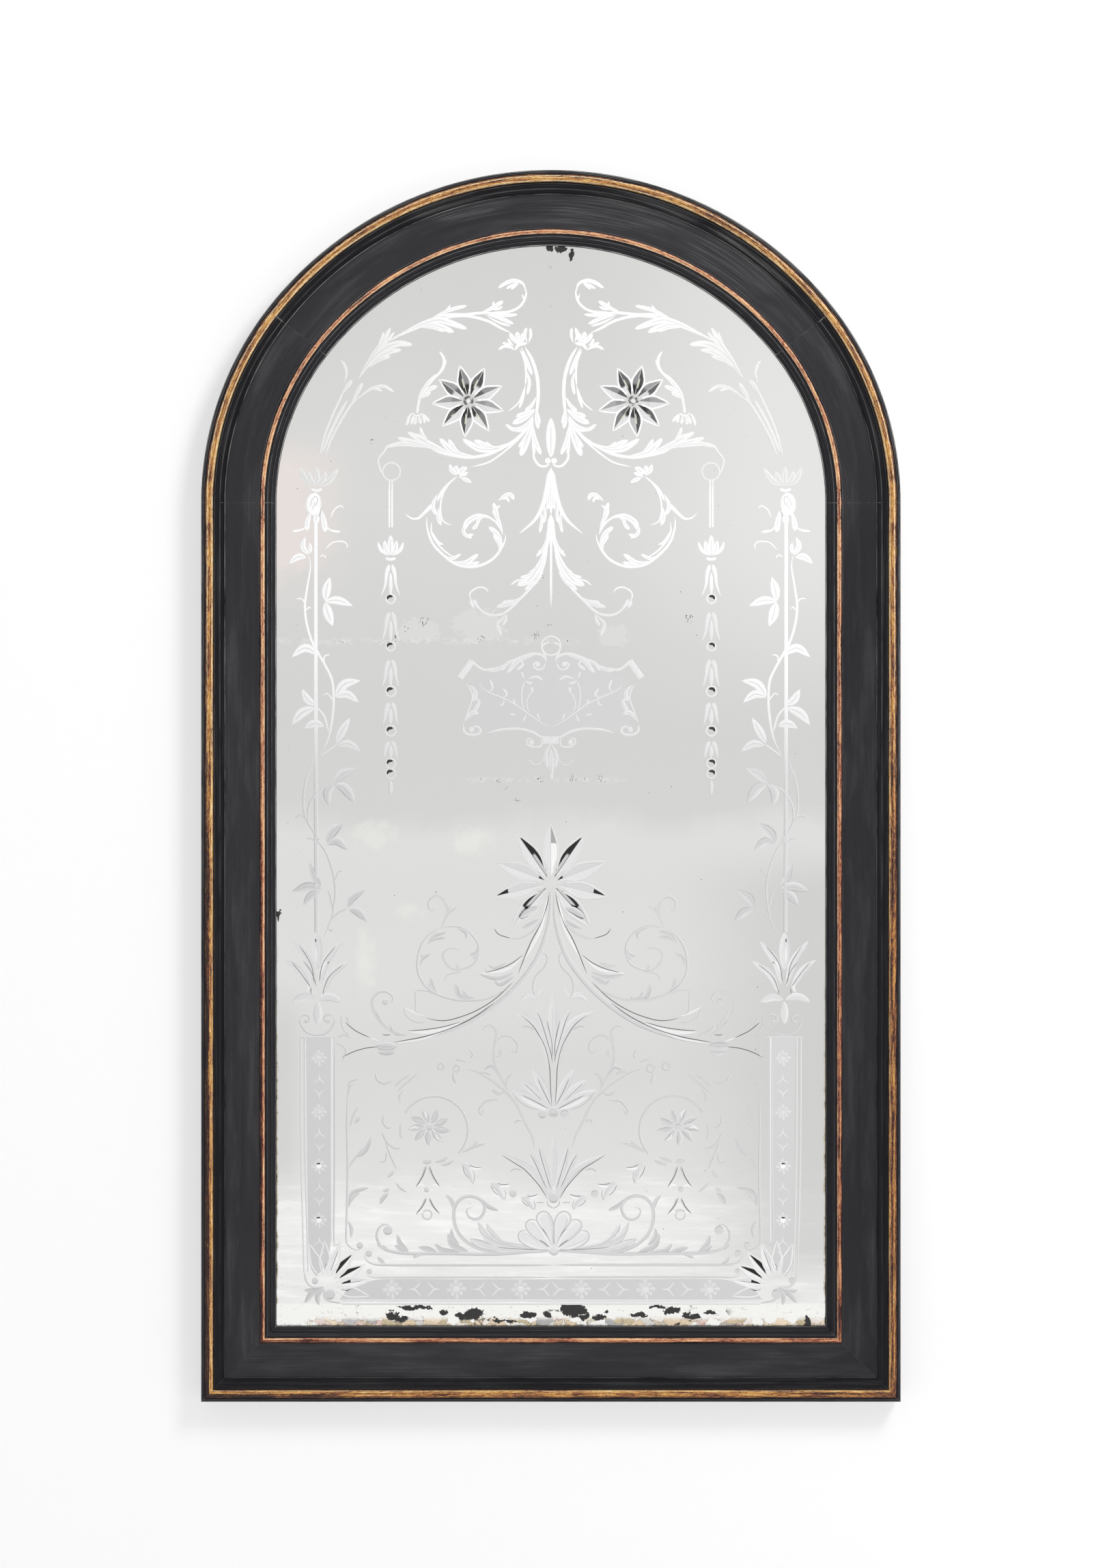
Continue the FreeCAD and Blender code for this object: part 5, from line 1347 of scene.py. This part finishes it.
LILY = {
    "dark": [
        (1.5, [(757, 1485), (769, 1493), (780, 1503), (790, 1518), (797, 1532), (802, 1548), (805, 1567), (806, 1589), (808, 1622)]),
        (1.5, [(786, 1481), (792, 1495), (797, 1511), (802, 1528), (807, 1545), (809, 1558)]),
        (1.2, [(801, 1495), (805, 1513), (808, 1528), (809, 1549)]), (1.5, [(762, 1604), (784, 1615), (804, 1626)]),
        (1.4, [(786, 1578), (796, 1600), (807, 1621)]), (1.0, [(766, 1587), (780, 1600), (795, 1615)]),
        (1.5, [(734, 1693), (753, 1705), (767, 1714), (779, 1726), (790, 1739), (797, 1750), (802, 1759)]),
        (1.4, [(776, 1691), (784, 1706), (792, 1724), (801, 1744)]), (1.4, [(789, 1682), (793, 1699), (799, 1719), (807, 1745)])],
    "grey": [
        (1.8, [(764, 1506), (770, 1504), (777, 1506), (782, 1510)]), (1.8, [(747, 1719), (752, 1714), (758, 1714), (764, 1716)]),
        (1.6, [(750, 1600), (758, 1612), (772, 1622), (788, 1627)]), (1.6, [(785, 1763), (791, 1763), (798, 1763)]),
        (2, [(801, 1760), (803, 1767), (811, 1772)]), (1.6, [(803, 1632), (806, 1636), (811, 1637)])],
    "plume": [(8, [(804, 1627), (782, 1620), (758, 1606)]), (3, [(796, 1613), (781, 1599), (768, 1586)])],
    "pale": [
        (11, [(805, 1566), (797, 1524), (780, 1497), (749, 1482)]), (9, [(807, 1552), (799, 1512), (785, 1477)]),
        (13, [(806, 1625), (782, 1612), (747, 1598)]),
        (14, [(806, 1625), (786, 1603), (762, 1583)]), (14, [(807, 1623), (797, 1598), (780, 1567)]),
        (6, [(786, 1463), (772, 1460), (760, 1467)]), (6, [(786, 1463), (779, 1459), (769, 1455)]),
        (6, [(786, 1463), (791, 1455), (796, 1446)]), (10, [(805, 1758), (780, 1717), (734, 1692)]),
        (11, [(804, 1756), (788, 1716), (775, 1687)]), (11, [(808, 1754), (798, 1716), (789, 1679)])],
    "bead": [(6.5, [(794, 1633)])],
    "stem": [
        (3, [(791, 1398), (799, 1397), (802, 1406), (797, 1418), (787, 1428), (782, 1438), (781, 1451), (786, 1464)]),
        (3, [(783, 1684), (779, 1667), (769, 1647), (755, 1618), (738, 1599), (716, 1582), (697, 1571), (682, 1567)]),
        (3, [(743, 1599), (733, 1579), (724, 1560), (722, 1545), (724, 1528), (726, 1512), (718, 1503), (710, 1505), (707, 1512)]),
        (2.5, [(726, 1527), (736, 1518), (749, 1520), (758, 1532), (755, 1543), (747, 1540)]),
        (2.5, [(730, 1612), (713, 1614), (706, 1620), (701, 1628), (705, 1634), (707, 1625)]),
        (2.5, [(753, 1647), (757, 1642), (764, 1643)]), (2.5, [(666, 1553), (677, 1554), (684, 1558)]),
        (2.5, [(687, 1538), (692, 1545), (690, 1552)])],
    "ring": [(3, [(645, 1563), (5,)]), (3, [(668, 1566), (5,)])],
    "lobe": [
        (7, [(733, 1579), (721, 1564), (709, 1568)]), (6, [(740, 1600), (730, 1604), (720, 1598)]),
        (5, [(740, 1596), (742, 1580), (750, 1573)]), (6, [(724, 1550), (732, 1545), (730, 1537)]),
        (5, [(700, 1573), (712, 1572), (719, 1576)]), (6, [(664, 1570), (664, 1580), (668, 1588)])],
}
LILY_MIDDLE = {
    "pale": [(13, [(810, 1545), (809.5, 1500), (810, 1455)]), (10, [(810.5, 1740), (810.5, 1702), (810.5, 1663)])],
    "bead": [(6.5, [(810.5, 1629)]), (8, [(810.5, 1756)])],
}
FIELD_SPRAYS = {
    "stem": [
        (2.5, [(509, 1606), (510, 1594), (516, 1590)]), (2.5, [(508, 1596), (512, 1585), (525, 1581)]),
        (2.5, [(511, 1652), (516, 1635), (523, 1623)]), (3, [(510, 1713), (515, 1703), (527, 1688), (539, 1676), (543, 1667)]),
        (3, [(549, 1572), (551, 1582), (561, 1588), (573, 1585)]), (2.5, [(580, 1601), (588, 1593), (600, 1582), (611, 1573)]),
        (2.5, [(577, 1593), (588, 1582), (600, 1575)]), (2.5, [(585, 1617), (584, 1606), (590, 1597)]),
        (3, [(561, 1635), (560, 1645), (566, 1653), (573, 1653)]), (3, [(558, 1659), (566, 1674), (575, 1682), (587, 1684)]),
        (2.5, [(563, 1671), (568, 1686), (575, 1703), (580, 1715)]), (2.5, [(566, 1688), (563, 1703), (554, 1703)])],
    "leaf": [
        (5, [(518, 1647), (523, 1640), (527, 1636)]), (7, [(522, 1697), (534, 1686), (542, 1668)]),
        (5, [(566, 1726), (571, 1722), (575, 1716)]), (5, [(560, 1747), (565, 1745), (569, 1742)]),
        (4, [(579, 1734), (586, 1742), (595, 1748)]), (7, [(555, 1766), (560, 1756), (568, 1749)]),
        (6, [(511, 1764), (517, 1753), (526, 1749)]), (7, [(509, 1770), (515, 1749), (539, 1741)]),
        (6, [(509, 1790), (514, 1802), (513, 1815)])],
}


# Bells of the lower garland: the calyx, the end of the upper petal, the notch and the tip of the lower petal.
GARLAND_BELLS_PX = (
    ((677, 1705), (705, 1713), (693, 1717), (692, 1736)), ((718, 1734), (746, 1737), (739, 1744), (738, 1760)),
    ((763, 1755), (788, 1752), (781, 1760), (782, 1774)))


def wreath_strokes():
    """A ring of line with a nine-petalled rosette, sprigs, and two bellflowers hanging from a bead."""
    centre, radius = (635, 1657), 50
    made = [ring(centre, radius, 3, -2.6, 0.75), ring(centre, radius, 2.5, 2.9, 3.3)]
    eye = (628, 1652)
    for i in range(9):
        turn = 2 * math.pi * (i + 0.25) / 9
        way = np.array([math.cos(turn), 0.86 * math.sin(turn)])
        side = np.array([-way[1], way[0]])
        points = [eye + 6 * way, eye + 18 * way + 2.5 * side, eye + 32 * way]
        made.append(stroke("leaf", 8, points, 0.24))
        if i in (1, 4, 6):
            made.append(stroke("leaf", 4, [eye + 12 * way, eye + 22 * way + 3 * side, eye + 31 * way], 0.7))
        made.append(stroke("stem", 1.0, [eye + 10 * way, eye + 19 * way - 2 * side, eye + 30 * way], -0.42))
    made.append(bead(eye, 5))
    made.append(stroke("dome", 7, [(618, 1703), (632, 1703)], straight=True))
    for top, foot, spread in ((1709, 1741, 18), (1756, 1781, 18)):
        for side in (-1, 1):
            leg = [(626 + 2 * side, top), (626 + 8 * side, top + 0.5 * (foot - top)), (626 + spread * side, foot)]
            made.append(stroke("horn", 5, leg))
            made.append(stroke("stem", 1.3, leg, -0.8))
            hem = [(626 + spread * side, foot), (626 + 11 * side, foot - 3), (626 + 4 * side, foot - 2)]
            made.append(stroke("leaf", 4.5, hem, 0.7))
    made += [bead((624, 1744), 4), ring((625, 1781), 7, 2.5)]
    for root, end, notch, tip in GARLAND_BELLS_PX:
        root, end, notch, tip = (np.array(place, float) for place in (root, end, notch, tip))
        made.append(stroke("leaf", 7, [root, 0.5 * (root + end) + (0, 2), end], 0.42))
        made.append(stroke("leaf", 7, [root, 0.4 * root + 0.3 * notch + 0.3 * tip, tip], 0.42))
        made.append(stroke("leaf", 5.5, [0.5 * (root + notch), 0.4 * end + 0.6 * notch - (0, 2), end], 0.8))
        made.append(stroke("stem", 1.1, [0.7 * root + 0.3 * end - (0, 1), end - (0, 1)], -0.7))
        made.append(stroke("stem", 1.1, [root + (0, 3), 0.25 * root + 0.75 * tip - (2, 0)], -0.5))
        made.append(stroke("stem", 1.2, [notch, 0.5 * (notch + tip) + (2, 0), tip], -0.4))
    made += [bead((751, 1750), 5), ring((751, 1750), 5.5, 1.2, tone=-0.25)]
    made += [stroke("leaf", 5, p) for p in (
        [(676, 1690), (692, 1681), (711, 1676)], [(688, 1683), (694, 1679), (697, 1672)], [(636, 1704), (646, 1701), (656, 1696)],
        [(644, 1708), (654, 1706), (664, 1701)])]
    return made


FOOT_SCROLL = {
    "stem": [
        (5, [(573, 1800), (563, 1795), (554, 1801), (551, 1814), (558, 1828), (573, 1835), (600, 1838), (648, 1838), (721, 1839),
             (769, 1836), (811, 1835)]),
        (5, [(769, 1838), (721, 1836), (692, 1827), (672, 1810), (664, 1788), (666, 1768), (677, 1756), (692, 1754), (706, 1761),
             (710, 1773), (704, 1785), (694, 1788), (685, 1783), (683, 1773), (692, 1770)]),
        (3, [(508, 1600), (507, 1650), (508, 1713), (507, 1770), (506, 1817), (510, 1827), (520, 1833), (527, 1831), (531, 1825)]),
        (3, [(489, 1519), (489, 1700), (488, 1817), (493, 1824), (499, 1821), (494, 1818)]),
        (4, [(533, 1836), (534, 1846), (544, 1853), (561, 1855), (624, 1855), (715, 1855), (812, 1855)]),
        (3, [(534, 1865), (544, 1873), (580, 1873), (700, 1873), (812, 1873)])],
    "bead": [(7, [(567, 1804)]), (5, [(526, 1826)]), (5, [(539, 1838)]), (4, [(540, 1864)]), (8, [(482, 1898)]), (5, [(460, 1878)])],
    "leaf": [
        (8, [(598, 1836), (585, 1824), (581, 1811)]), (7, [(596, 1837), (586, 1832), (577, 1826)]),
        (6, [(568, 1833), (559, 1829), (551, 1824)]), (9, [(674, 1837), (648, 1834), (636, 1824)]),
        (8, [(640, 1837), (626, 1832), (612, 1829)]), (6, [(620, 1839), (612, 1840), (604, 1845)]),
        (9, [(686, 1836), (662, 1826), (655, 1809)]), (7, [(672, 1826), (661, 1814), (661, 1801)]),
        (7, [(706, 1758), (714, 1768), (730, 1775)]), (6, [(664, 1774), (660, 1760), (652, 1752)]),
        (6, [(563, 1853), (556, 1848), (552, 1843)])],
    "pale": [
        (13, [(786, 1833), (722, 1822), (699, 1792)]), (9, [(765, 1831), (733, 1822), (712, 1795)]),
        (11, [(766, 1835), (720, 1830), (688, 1816)])],
    "grey": [
        (1.5, [(713, 1793), (714, 1804), (727, 1816), (746, 1826), (780, 1832)]), (1.3, [(688, 1816), (705, 1819), (724, 1827)]),
        (1.3, [(700, 1792), (704, 1807), (722, 1819), (746, 1827)]), (1.4, [(688, 1816), (693, 1824), (707, 1831), (731, 1835)])],
    "dark": [(1.2, [(724, 1828), (750, 1831), (778, 1832), (803, 1833)])],
}


# The shell's three left lobes: the width and path of each fill, then its rim.
SHELL_LOBES_PX = (
    (20, [(810, 1830), (803, 1806), (796, 1780)],
     [(810, 1826), (810, 1795), (805, 1781), (796, 1776), (788, 1780), (786, 1788), (791, 1798), (803, 1815), (809, 1828)]),
    (16, [(807, 1830), (790, 1812), (773, 1793)],
     [(788, 1790), (777, 1788), (770, 1794), (772, 1803), (781, 1813), (792, 1821), (805, 1830)]),
    (15, [(805, 1833), (784, 1823), (761, 1809)],
     [(772, 1804), (763, 1805), (759, 1811), (761, 1819), (770, 1826), (781, 1831), (795, 1833), (806, 1834)]))


def shell_strokes():
    """The left half of the shell at the foot: three round lobes with raised rims, and dark lines between them."""
    made = []
    for width, fill, rim in SHELL_LOBES_PX:
        made += [stroke("grow", width, fill, 0.5), stroke("stem", 2.2, rim, -0.32)]
    made.append(stroke("stem", 1.4, [(791, 1798), (798, 1807), (804, 1817)], -0.8))
    made.append(stroke("stem", 1.2, [(790, 1818), (798, 1823), (804, 1829)], -0.55))
    return made


def rosette(centre, size, eye):
    """A small square rosette: eight rounded petals about an eye of a given tone."""
    made = [bead(centre, 0.34 * size, eye)]
    for i in range(8):
        turn = math.pi * i / 4
        way = np.array([math.cos(turn), math.sin(turn)])
        reach = size * (1.0 if i % 2 == 0 else 0.82)
        made.append(stroke("lobe", 0.62 * size, [centre + 0.25 * size * way, centre + 0.6 * size * way, centre + reach * way], 0.42))
    return made


def crescents(centre, size, level):
    """A pair of bent leaves with a point between, lying along a level or an upright band."""
    made = []
    for hand in (-1, 1):
        shape = np.array([(-0.9, 0.95), (-0.35, 0.32), (-0.05, 0.06), (0.75, 0.0)]) * size
        shape[:, 1] *= hand
        points = shape if level else shape[:, ::-1]
        made.append(stroke("leaf", 0.26 * size, np.asarray(centre) + points, 0.45))
    return made


BORDER_PANELS = [
    ([(447, 1522), (448, 1640), (449, 1760), (452, 1850), (462, 1872)], [(483, 1522), (483, 1640), (483, 1750), (483, 1815), (480, 1850)]),
    ([(505, 1894), (530, 1884), (560, 1876), (680, 1876), (AXIS_PX, 1876)],
     [(496, 1906), (530, 1906), (560, 1906), (680, 1906), (AXIS_PX, 1906)])]
BAND_PITCH, BAND_FIRST = 94.6, 573.0
PANEL_PITCH, PANEL_FIRST = 79.5, 1551.0


def border_strokes():
    """The frosted band round the foot: two upright panels and a level one, with rosettes and leaf pairs."""
    made = [stroke("bar", 2.5, [(x, 1519), (x + 1, 1700), (x + 5, 1865)], 0.4) for x in (439, 445)]
    made += [stroke("bar", 3, [(484, 1519), (484, 1700), (484, 1822)], 0.5), stroke("bar", 3, [(438, 1520), (464, 1520), (489, 1520)], 0.3)]
    made += [stroke("bar", 3, [(500, row), (660, row), (AXIS_PX, row)], 0.5) for row in (1907, 1912)]
    made.append(stroke("stem", 3, [(444, 1865), (448, 1880), (458, 1888), (470, 1887)], 0.3))
    for i in range(4):
        row = PANEL_FIRST + PANEL_PITCH * i
        made += rosette(np.array([465.5, row]), 12, 0.4 if i < 2 else 0.9)
        if i > 1:
            made.append(stroke("horn", 4, [(467.5, row - 4), (465, row - 4), (461, row - 4)], -0.95))
        made += crescents((466, row + 0.377 * PANEL_PITCH), -9, False) + crescents((466, row + 0.672 * PANEL_PITCH), 9, False)
    for i in range(3):
        column = BAND_FIRST + BAND_PITCH * i
        made += rosette(np.array([column, 1891.0]), 15, 0.5) + crescents((column + 0.342 * BAND_PITCH, 1891), -12, True)
        if i < 2:
            made += crescents((column + 0.658 * BAND_PITCH, 1891), 12, True)
    return made


CORNER_TAIL = {
    "leaf": [(8, [(473, 1887), (461, 1893), (444, 1892)]), (9, [(472, 1889), (456, 1897), (445, 1911)]),
             (8, [(473, 1890), (464, 1901), (466, 1914)])],
    "stem": [(3, [(474, 1889), (474, 1902), (482, 1908), (500, 1911)])],
}

BORDER_WIDTH, BORDER_GAP = 4.2, 0.0022


def petal_borders(cut, tone, width=BORDER_WIDTH):
    """Two bent bars round each petal of a cut flower, from near its eye to a point past its tip."""
    made = []
    first, step = petal_turns(cut)
    for i in range(cut["petals"]):
        turn = first + i * step
        way = np.array([math.sin(turn), math.cos(turn)])
        side = np.array([way[1], -way[0]])
        out = cut["half"] + BORDER_GAP
        for hand in (-1, 1):
            shares = np.array([(0.24, 0.30), (0.42, 0.82), (0.60, 1.0), (0.82, 0.62)])
            line = np.array(cut["centre"]) + cut["reach"] * shares[:, :1] * way + hand * out * shares[:, 1:] * side
            tip = np.array(cut["centre"]) + (cut["reach"] + 2.6 * BORDER_GAP) * way
            line = np.vstack([line, tip])
            points = np.column_stack([line[:, 0] / PIXEL + AXIS_PX, SPRING_PX - line[:, 1] / PIXEL])
            made.append(stroke("stem", width, points, tone))
    return made


def frosted_slab(name, edges, finish, tone):
    """Thin slabs of frosted glass, each between two paths: the straight lines from one path to the other fill it.

    At share s of the paths and share t across, the place is first(s) * (1 - t) + last(s) * t; a copy sunk into
    the plate and a wall round the rim close it.
    """
    count, rows = 48, 7
    places, faces = [], []
    for first, last in edges:
        top, foot = smooth_path(at_pixel(first), count), smooth_path(at_pixel(last), count)
        share = np.linspace(0, 1, rows)[None, :, None]
        sheet = top[:, None] * (1 - share) + foot[:, None] * share
        front = np.stack([sheet[..., 0], np.full(sheet.shape[:2], GLASS_FACE - SLAB_PROUD), sheet[..., 1]], axis=2)
        back = front.copy()
        back[..., 1] = GLASS_FACE + SUNK
        start = sum(len(p) for p in places)
        index = start + np.arange(count * rows).reshape(count, rows)
        quads = np.stack([index[:-1, :-1], index[1:, :-1], index[1:, 1:], index[:-1, 1:]], axis=2).reshape(-1, 4)
        rim = np.concatenate([index[:, 0], index[-1, 1:], index[-2::-1, -1], index[0, -2:0:-1]])
        after = np.roll(rim, -1)
        shift = count * rows
        walls = np.column_stack([rim, after, after + shift, rim + shift])
        faces += np.concatenate([quads, quads[:, ::-1] + shift, walls]).tolist()
        places += [front.reshape(-1, 3), back.reshape(-1, 3)]
    points = np.concatenate(places)
    mesh = bpy.data.meshes.new(name)
    mesh.from_pydata(points.tolist(), [], faces)
    turn_outwards(mesh)
    for key, value in (("along", 0.0), ("across", 0.5), ("tone", tone), ("veined", 0.0)):
        layer = mesh.attributes.new(key, "FLOAT", "POINT")
        layer.data.foreach_set("value", np.full(len(points), value, np.float32))
    mesh.materials.append(finish)
    piece = bpy.data.objects.new(name, mesh)
    bpy.context.scene.collection.objects.link(piece)
    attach(piece, "frame")


def both_sides(edges):
    """Pairs of paths and their mirror images."""
    return edges + [tuple([(2 * AXIS_PX - x, y) for x, y in path] for path in pair) for pair in edges]


# The hand-drawn lower ornament is mirrored about its own upright, a few pixels right of the frame's.
HAND_AXES_PX = {"swags": 809, "lower_scrolls": 809, "lily": 810.5, "wreaths": 811, "foot_scrolls": 810.5, "shell": 811}


def lay_etching():
    """Every etched piece: the left half's strokes, their mirror images, and what stands on the axis."""
    frost = material("etched_frost_finish", etched_frost)
    halves = {
        "arch_scrolls": drawn(ARCH_SCROLL),
        "star_scrolls": drawn(STAR_SCROLL) + drawn(CALYX) + drawn(POT),
        "second_scrolls": drawn(SECOND_SCROLL),
        "pendant_scrolls": drawn(PENDANT),
        "bellflower_drops": drop_strokes(),
        "vine_columns": drawn(VINE_COLUMN),
        "column_feet": drawn(COLUMN_FOOT),
        "cartouche_scrolls": drawn(CARTOUCHE),
        "swags": drawn(SWAG),
        "lower_scrolls": drawn(C_SCROLL) + drawn(FIELD_SPRAYS),
        "lily": drawn(LILY),
        "wreaths": wreath_strokes(),
        "foot_scrolls": drawn(FOOT_SCROLL),
        "border_band": border_strokes() + drawn(CORNER_TAIL),
        "shell": shell_strokes(),
        "star_borders": petal_borders(STAR, 0.8, 2.6),
        "fan_borders": petal_borders(FAN, 0.62, 2.4),
    }
    shell_boss = [stroke("stem", 1.4, [(811, 1796), (811, 1811), (811, 1826)], -0.42), bead((811, 1834), 6, 0.4),
                  ring((811, 1834), 6.5, 1.6, 0.3, math.pi - 0.3, -0.32)]
    middles = {"lily": drawn(LILY_MIDDLE), "shell": shell_boss}
    for name, strokes in halves.items():
        mirrored = flipped(strokes, HAND_AXES_PX.get(name, AXIS_PX))
        etched_piece(name, strokes + mirrored + middles.get(name, []), frost)
    etched_piece("centre_fleur", drawn(FLEUR) + [ring((AXIS_PX, 945), 14, 3)], frost)
    etched_piece("heart_border", petal_borders(HEART, 0.4, 3.0), frost)
    frosted_slab("cartouche_tablet", both_sides([(CARTOUCHE_TOP, CARTOUCHE_FOOT)]), frost, -0.34)
    frosted_slab("border_panels", both_sides(BORDER_PANELS), frost, -0.31)


# Studio.

FLOOR_Z = FOOT - 0.32
WALL_Y = cad_high.y + 0.0006
WALL_GLOW = 0.55


def stage_sheet(name, corners, finish):
    """A flat stage sheet with its four corners in order."""
    mesh = bpy.data.meshes.new(name)
    mesh.from_pydata(corners, [], [(0, 1, 2, 3)])
    sheet = bpy.data.objects.new(name, mesh)
    mesh.materials.append(finish)
    bpy.context.scene.collection.objects.link(sheet)
    return sheet


def stage_paper(name, seen_by_lamps):
    """White paper. The wall's is there only for the camera, and only from its front, so that light reaches
    the back of the part and views from behind see through it."""
    made = bpy.data.materials.new(name)
    made.use_nodes = True
    tree = made.node_tree
    start = Wire(tree)
    tree.nodes.clear()
    fibre = start.noise(start.make("ShaderNodeTexCoord", output="Object"), 40.0, 3.0)
    colour = start.mix(fibre, (0.93, 0.93, 0.93), (0.95, 0.95, 0.95))
    paper = start.make("ShaderNodeBsdfDiffuse", {}, {"Color": colour}, "BSDF")
    camera = start.make("ShaderNodeLightPath", output="Is Camera Ray")
    glossy = start.make("ShaderNodeLightPath", output="Is Glossy Ray")
    through = start.make("ShaderNodeLightPath", output="Is Transmission Ray")
    white = start.make("ShaderNodeEmission", {}, {"Color": (1.0, 1.0, 1.0), "Strength": 1.0}, "Emission")
    if seen_by_lamps:
        shown = start.make("ShaderNodeMixShader", {}, {0: glossy.most(through), 1: paper, 2: white}, "Shader")
    else:
        behind = start.make("ShaderNodeNewGeometry", output="Backfacing")
        clear = start.make("ShaderNodeBsdfTransparent", {}, {}, "BSDF")
        lit = start.make("ShaderNodeMixShader", {}, {0: WALL_GLOW, 1: paper, 2: white}, "Shader")
        shown = start.make("ShaderNodeMixShader", {}, {0: camera * (1.0 - behind), 1: clear, 2: lit}, "Shader")
    output = tree.nodes.new("ShaderNodeOutputMaterial")
    tree.links.new(shown.socket, output.inputs["Surface"])
    return made


def build_stage():
    """A pale floor below the view and a white wall just behind the part."""
    stage_sheet("studio_floor", [(-6, 1.5, FLOOR_Z), (-6, -9, FLOOR_Z), (6, -9, FLOOR_Z), (6, 1.5, FLOOR_Z)],
                stage_paper("studio_floor_paper", True))
    stage_sheet("studio_wall", [(-6, WALL_Y, FLOOR_Z), (6, WALL_Y, FLOOR_Z), (6, WALL_Y, 4.0), (-6, WALL_Y, 4.0)],
                stage_paper("studio_wall_paper", False))


def light_stage():
    """A soft white world, and one large lamp high on the right that throws the part's shadow left and down."""
    world = bpy.data.worlds.new("studio_world")
    bpy.context.scene.world = world
    world.use_nodes = True
    tree = world.node_tree
    start = Wire(tree)
    background = next(n for n in tree.nodes if n.type == "BACKGROUND")
    seen = start.make("ShaderNodeLightPath", output="Is Camera Ray")
    seen = seen.most(start.make("ShaderNodeLightPath", output="Is Glossy Ray"))
    seen = seen.most(start.make("ShaderNodeLightPath", output="Is Transmission Ray"))
    strength = WORLD_LIGHT + seen * (1.0 - WORLD_LIGHT)
    tree.links.new(strength.socket, background.inputs["Strength"])
    background.inputs["Color"].default_value = (1.0, 1.0, 1.0, 1.0)
    lamp = bpy.data.lights.new("key_lamp", "AREA")
    lamp.energy, lamp.shape, lamp.size = KEY_POWER, "DISK", 1.7
    key = bpy.data.objects.new("key_lamp", lamp)
    key.location = KEY_PLACE
    aim = np.array(KEY_AIM) - np.array(KEY_PLACE)
    key.rotation_euler = (math.atan2(math.hypot(aim[0], aim[1]), -aim[2]), 0.0, math.atan2(aim[0], -aim[1]) + math.pi)
    key.visible_glossy = False
    bpy.context.scene.collection.objects.link(key)


WORLD_LIGHT = 0.62
KEY_POWER = 170.0
KEY_PLACE = (2.4, -3.6, 2.4)
KEY_AIM = (0.0, 0.0, -0.45)


def place_camera():
    """A long lens straight in front, framed as the photograph is."""
    data = bpy.data.cameras.new("camera")
    data.sensor_width = SENSOR
    data.lens = SENSOR * CAMERA_DISTANCE / (IMAGE_HEIGHT * PIXEL)
    camera = bpy.data.objects.new("camera", data)
    camera.location = (px_x(IMAGE_WIDTH / 2), cad_low.y - CAMERA_DISTANCE, px_z(IMAGE_HEIGHT / 2))
    camera.rotation_euler = (math.pi / 2, 0.0, 0.0)
    bpy.context.scene.collection.objects.link(camera)
    bpy.context.scene.camera = camera


place_camera()
build_stage()
light_stage()
dress_nodes()
lay_etching()
bpy.context.scene.view_settings.view_transform = "Standard"
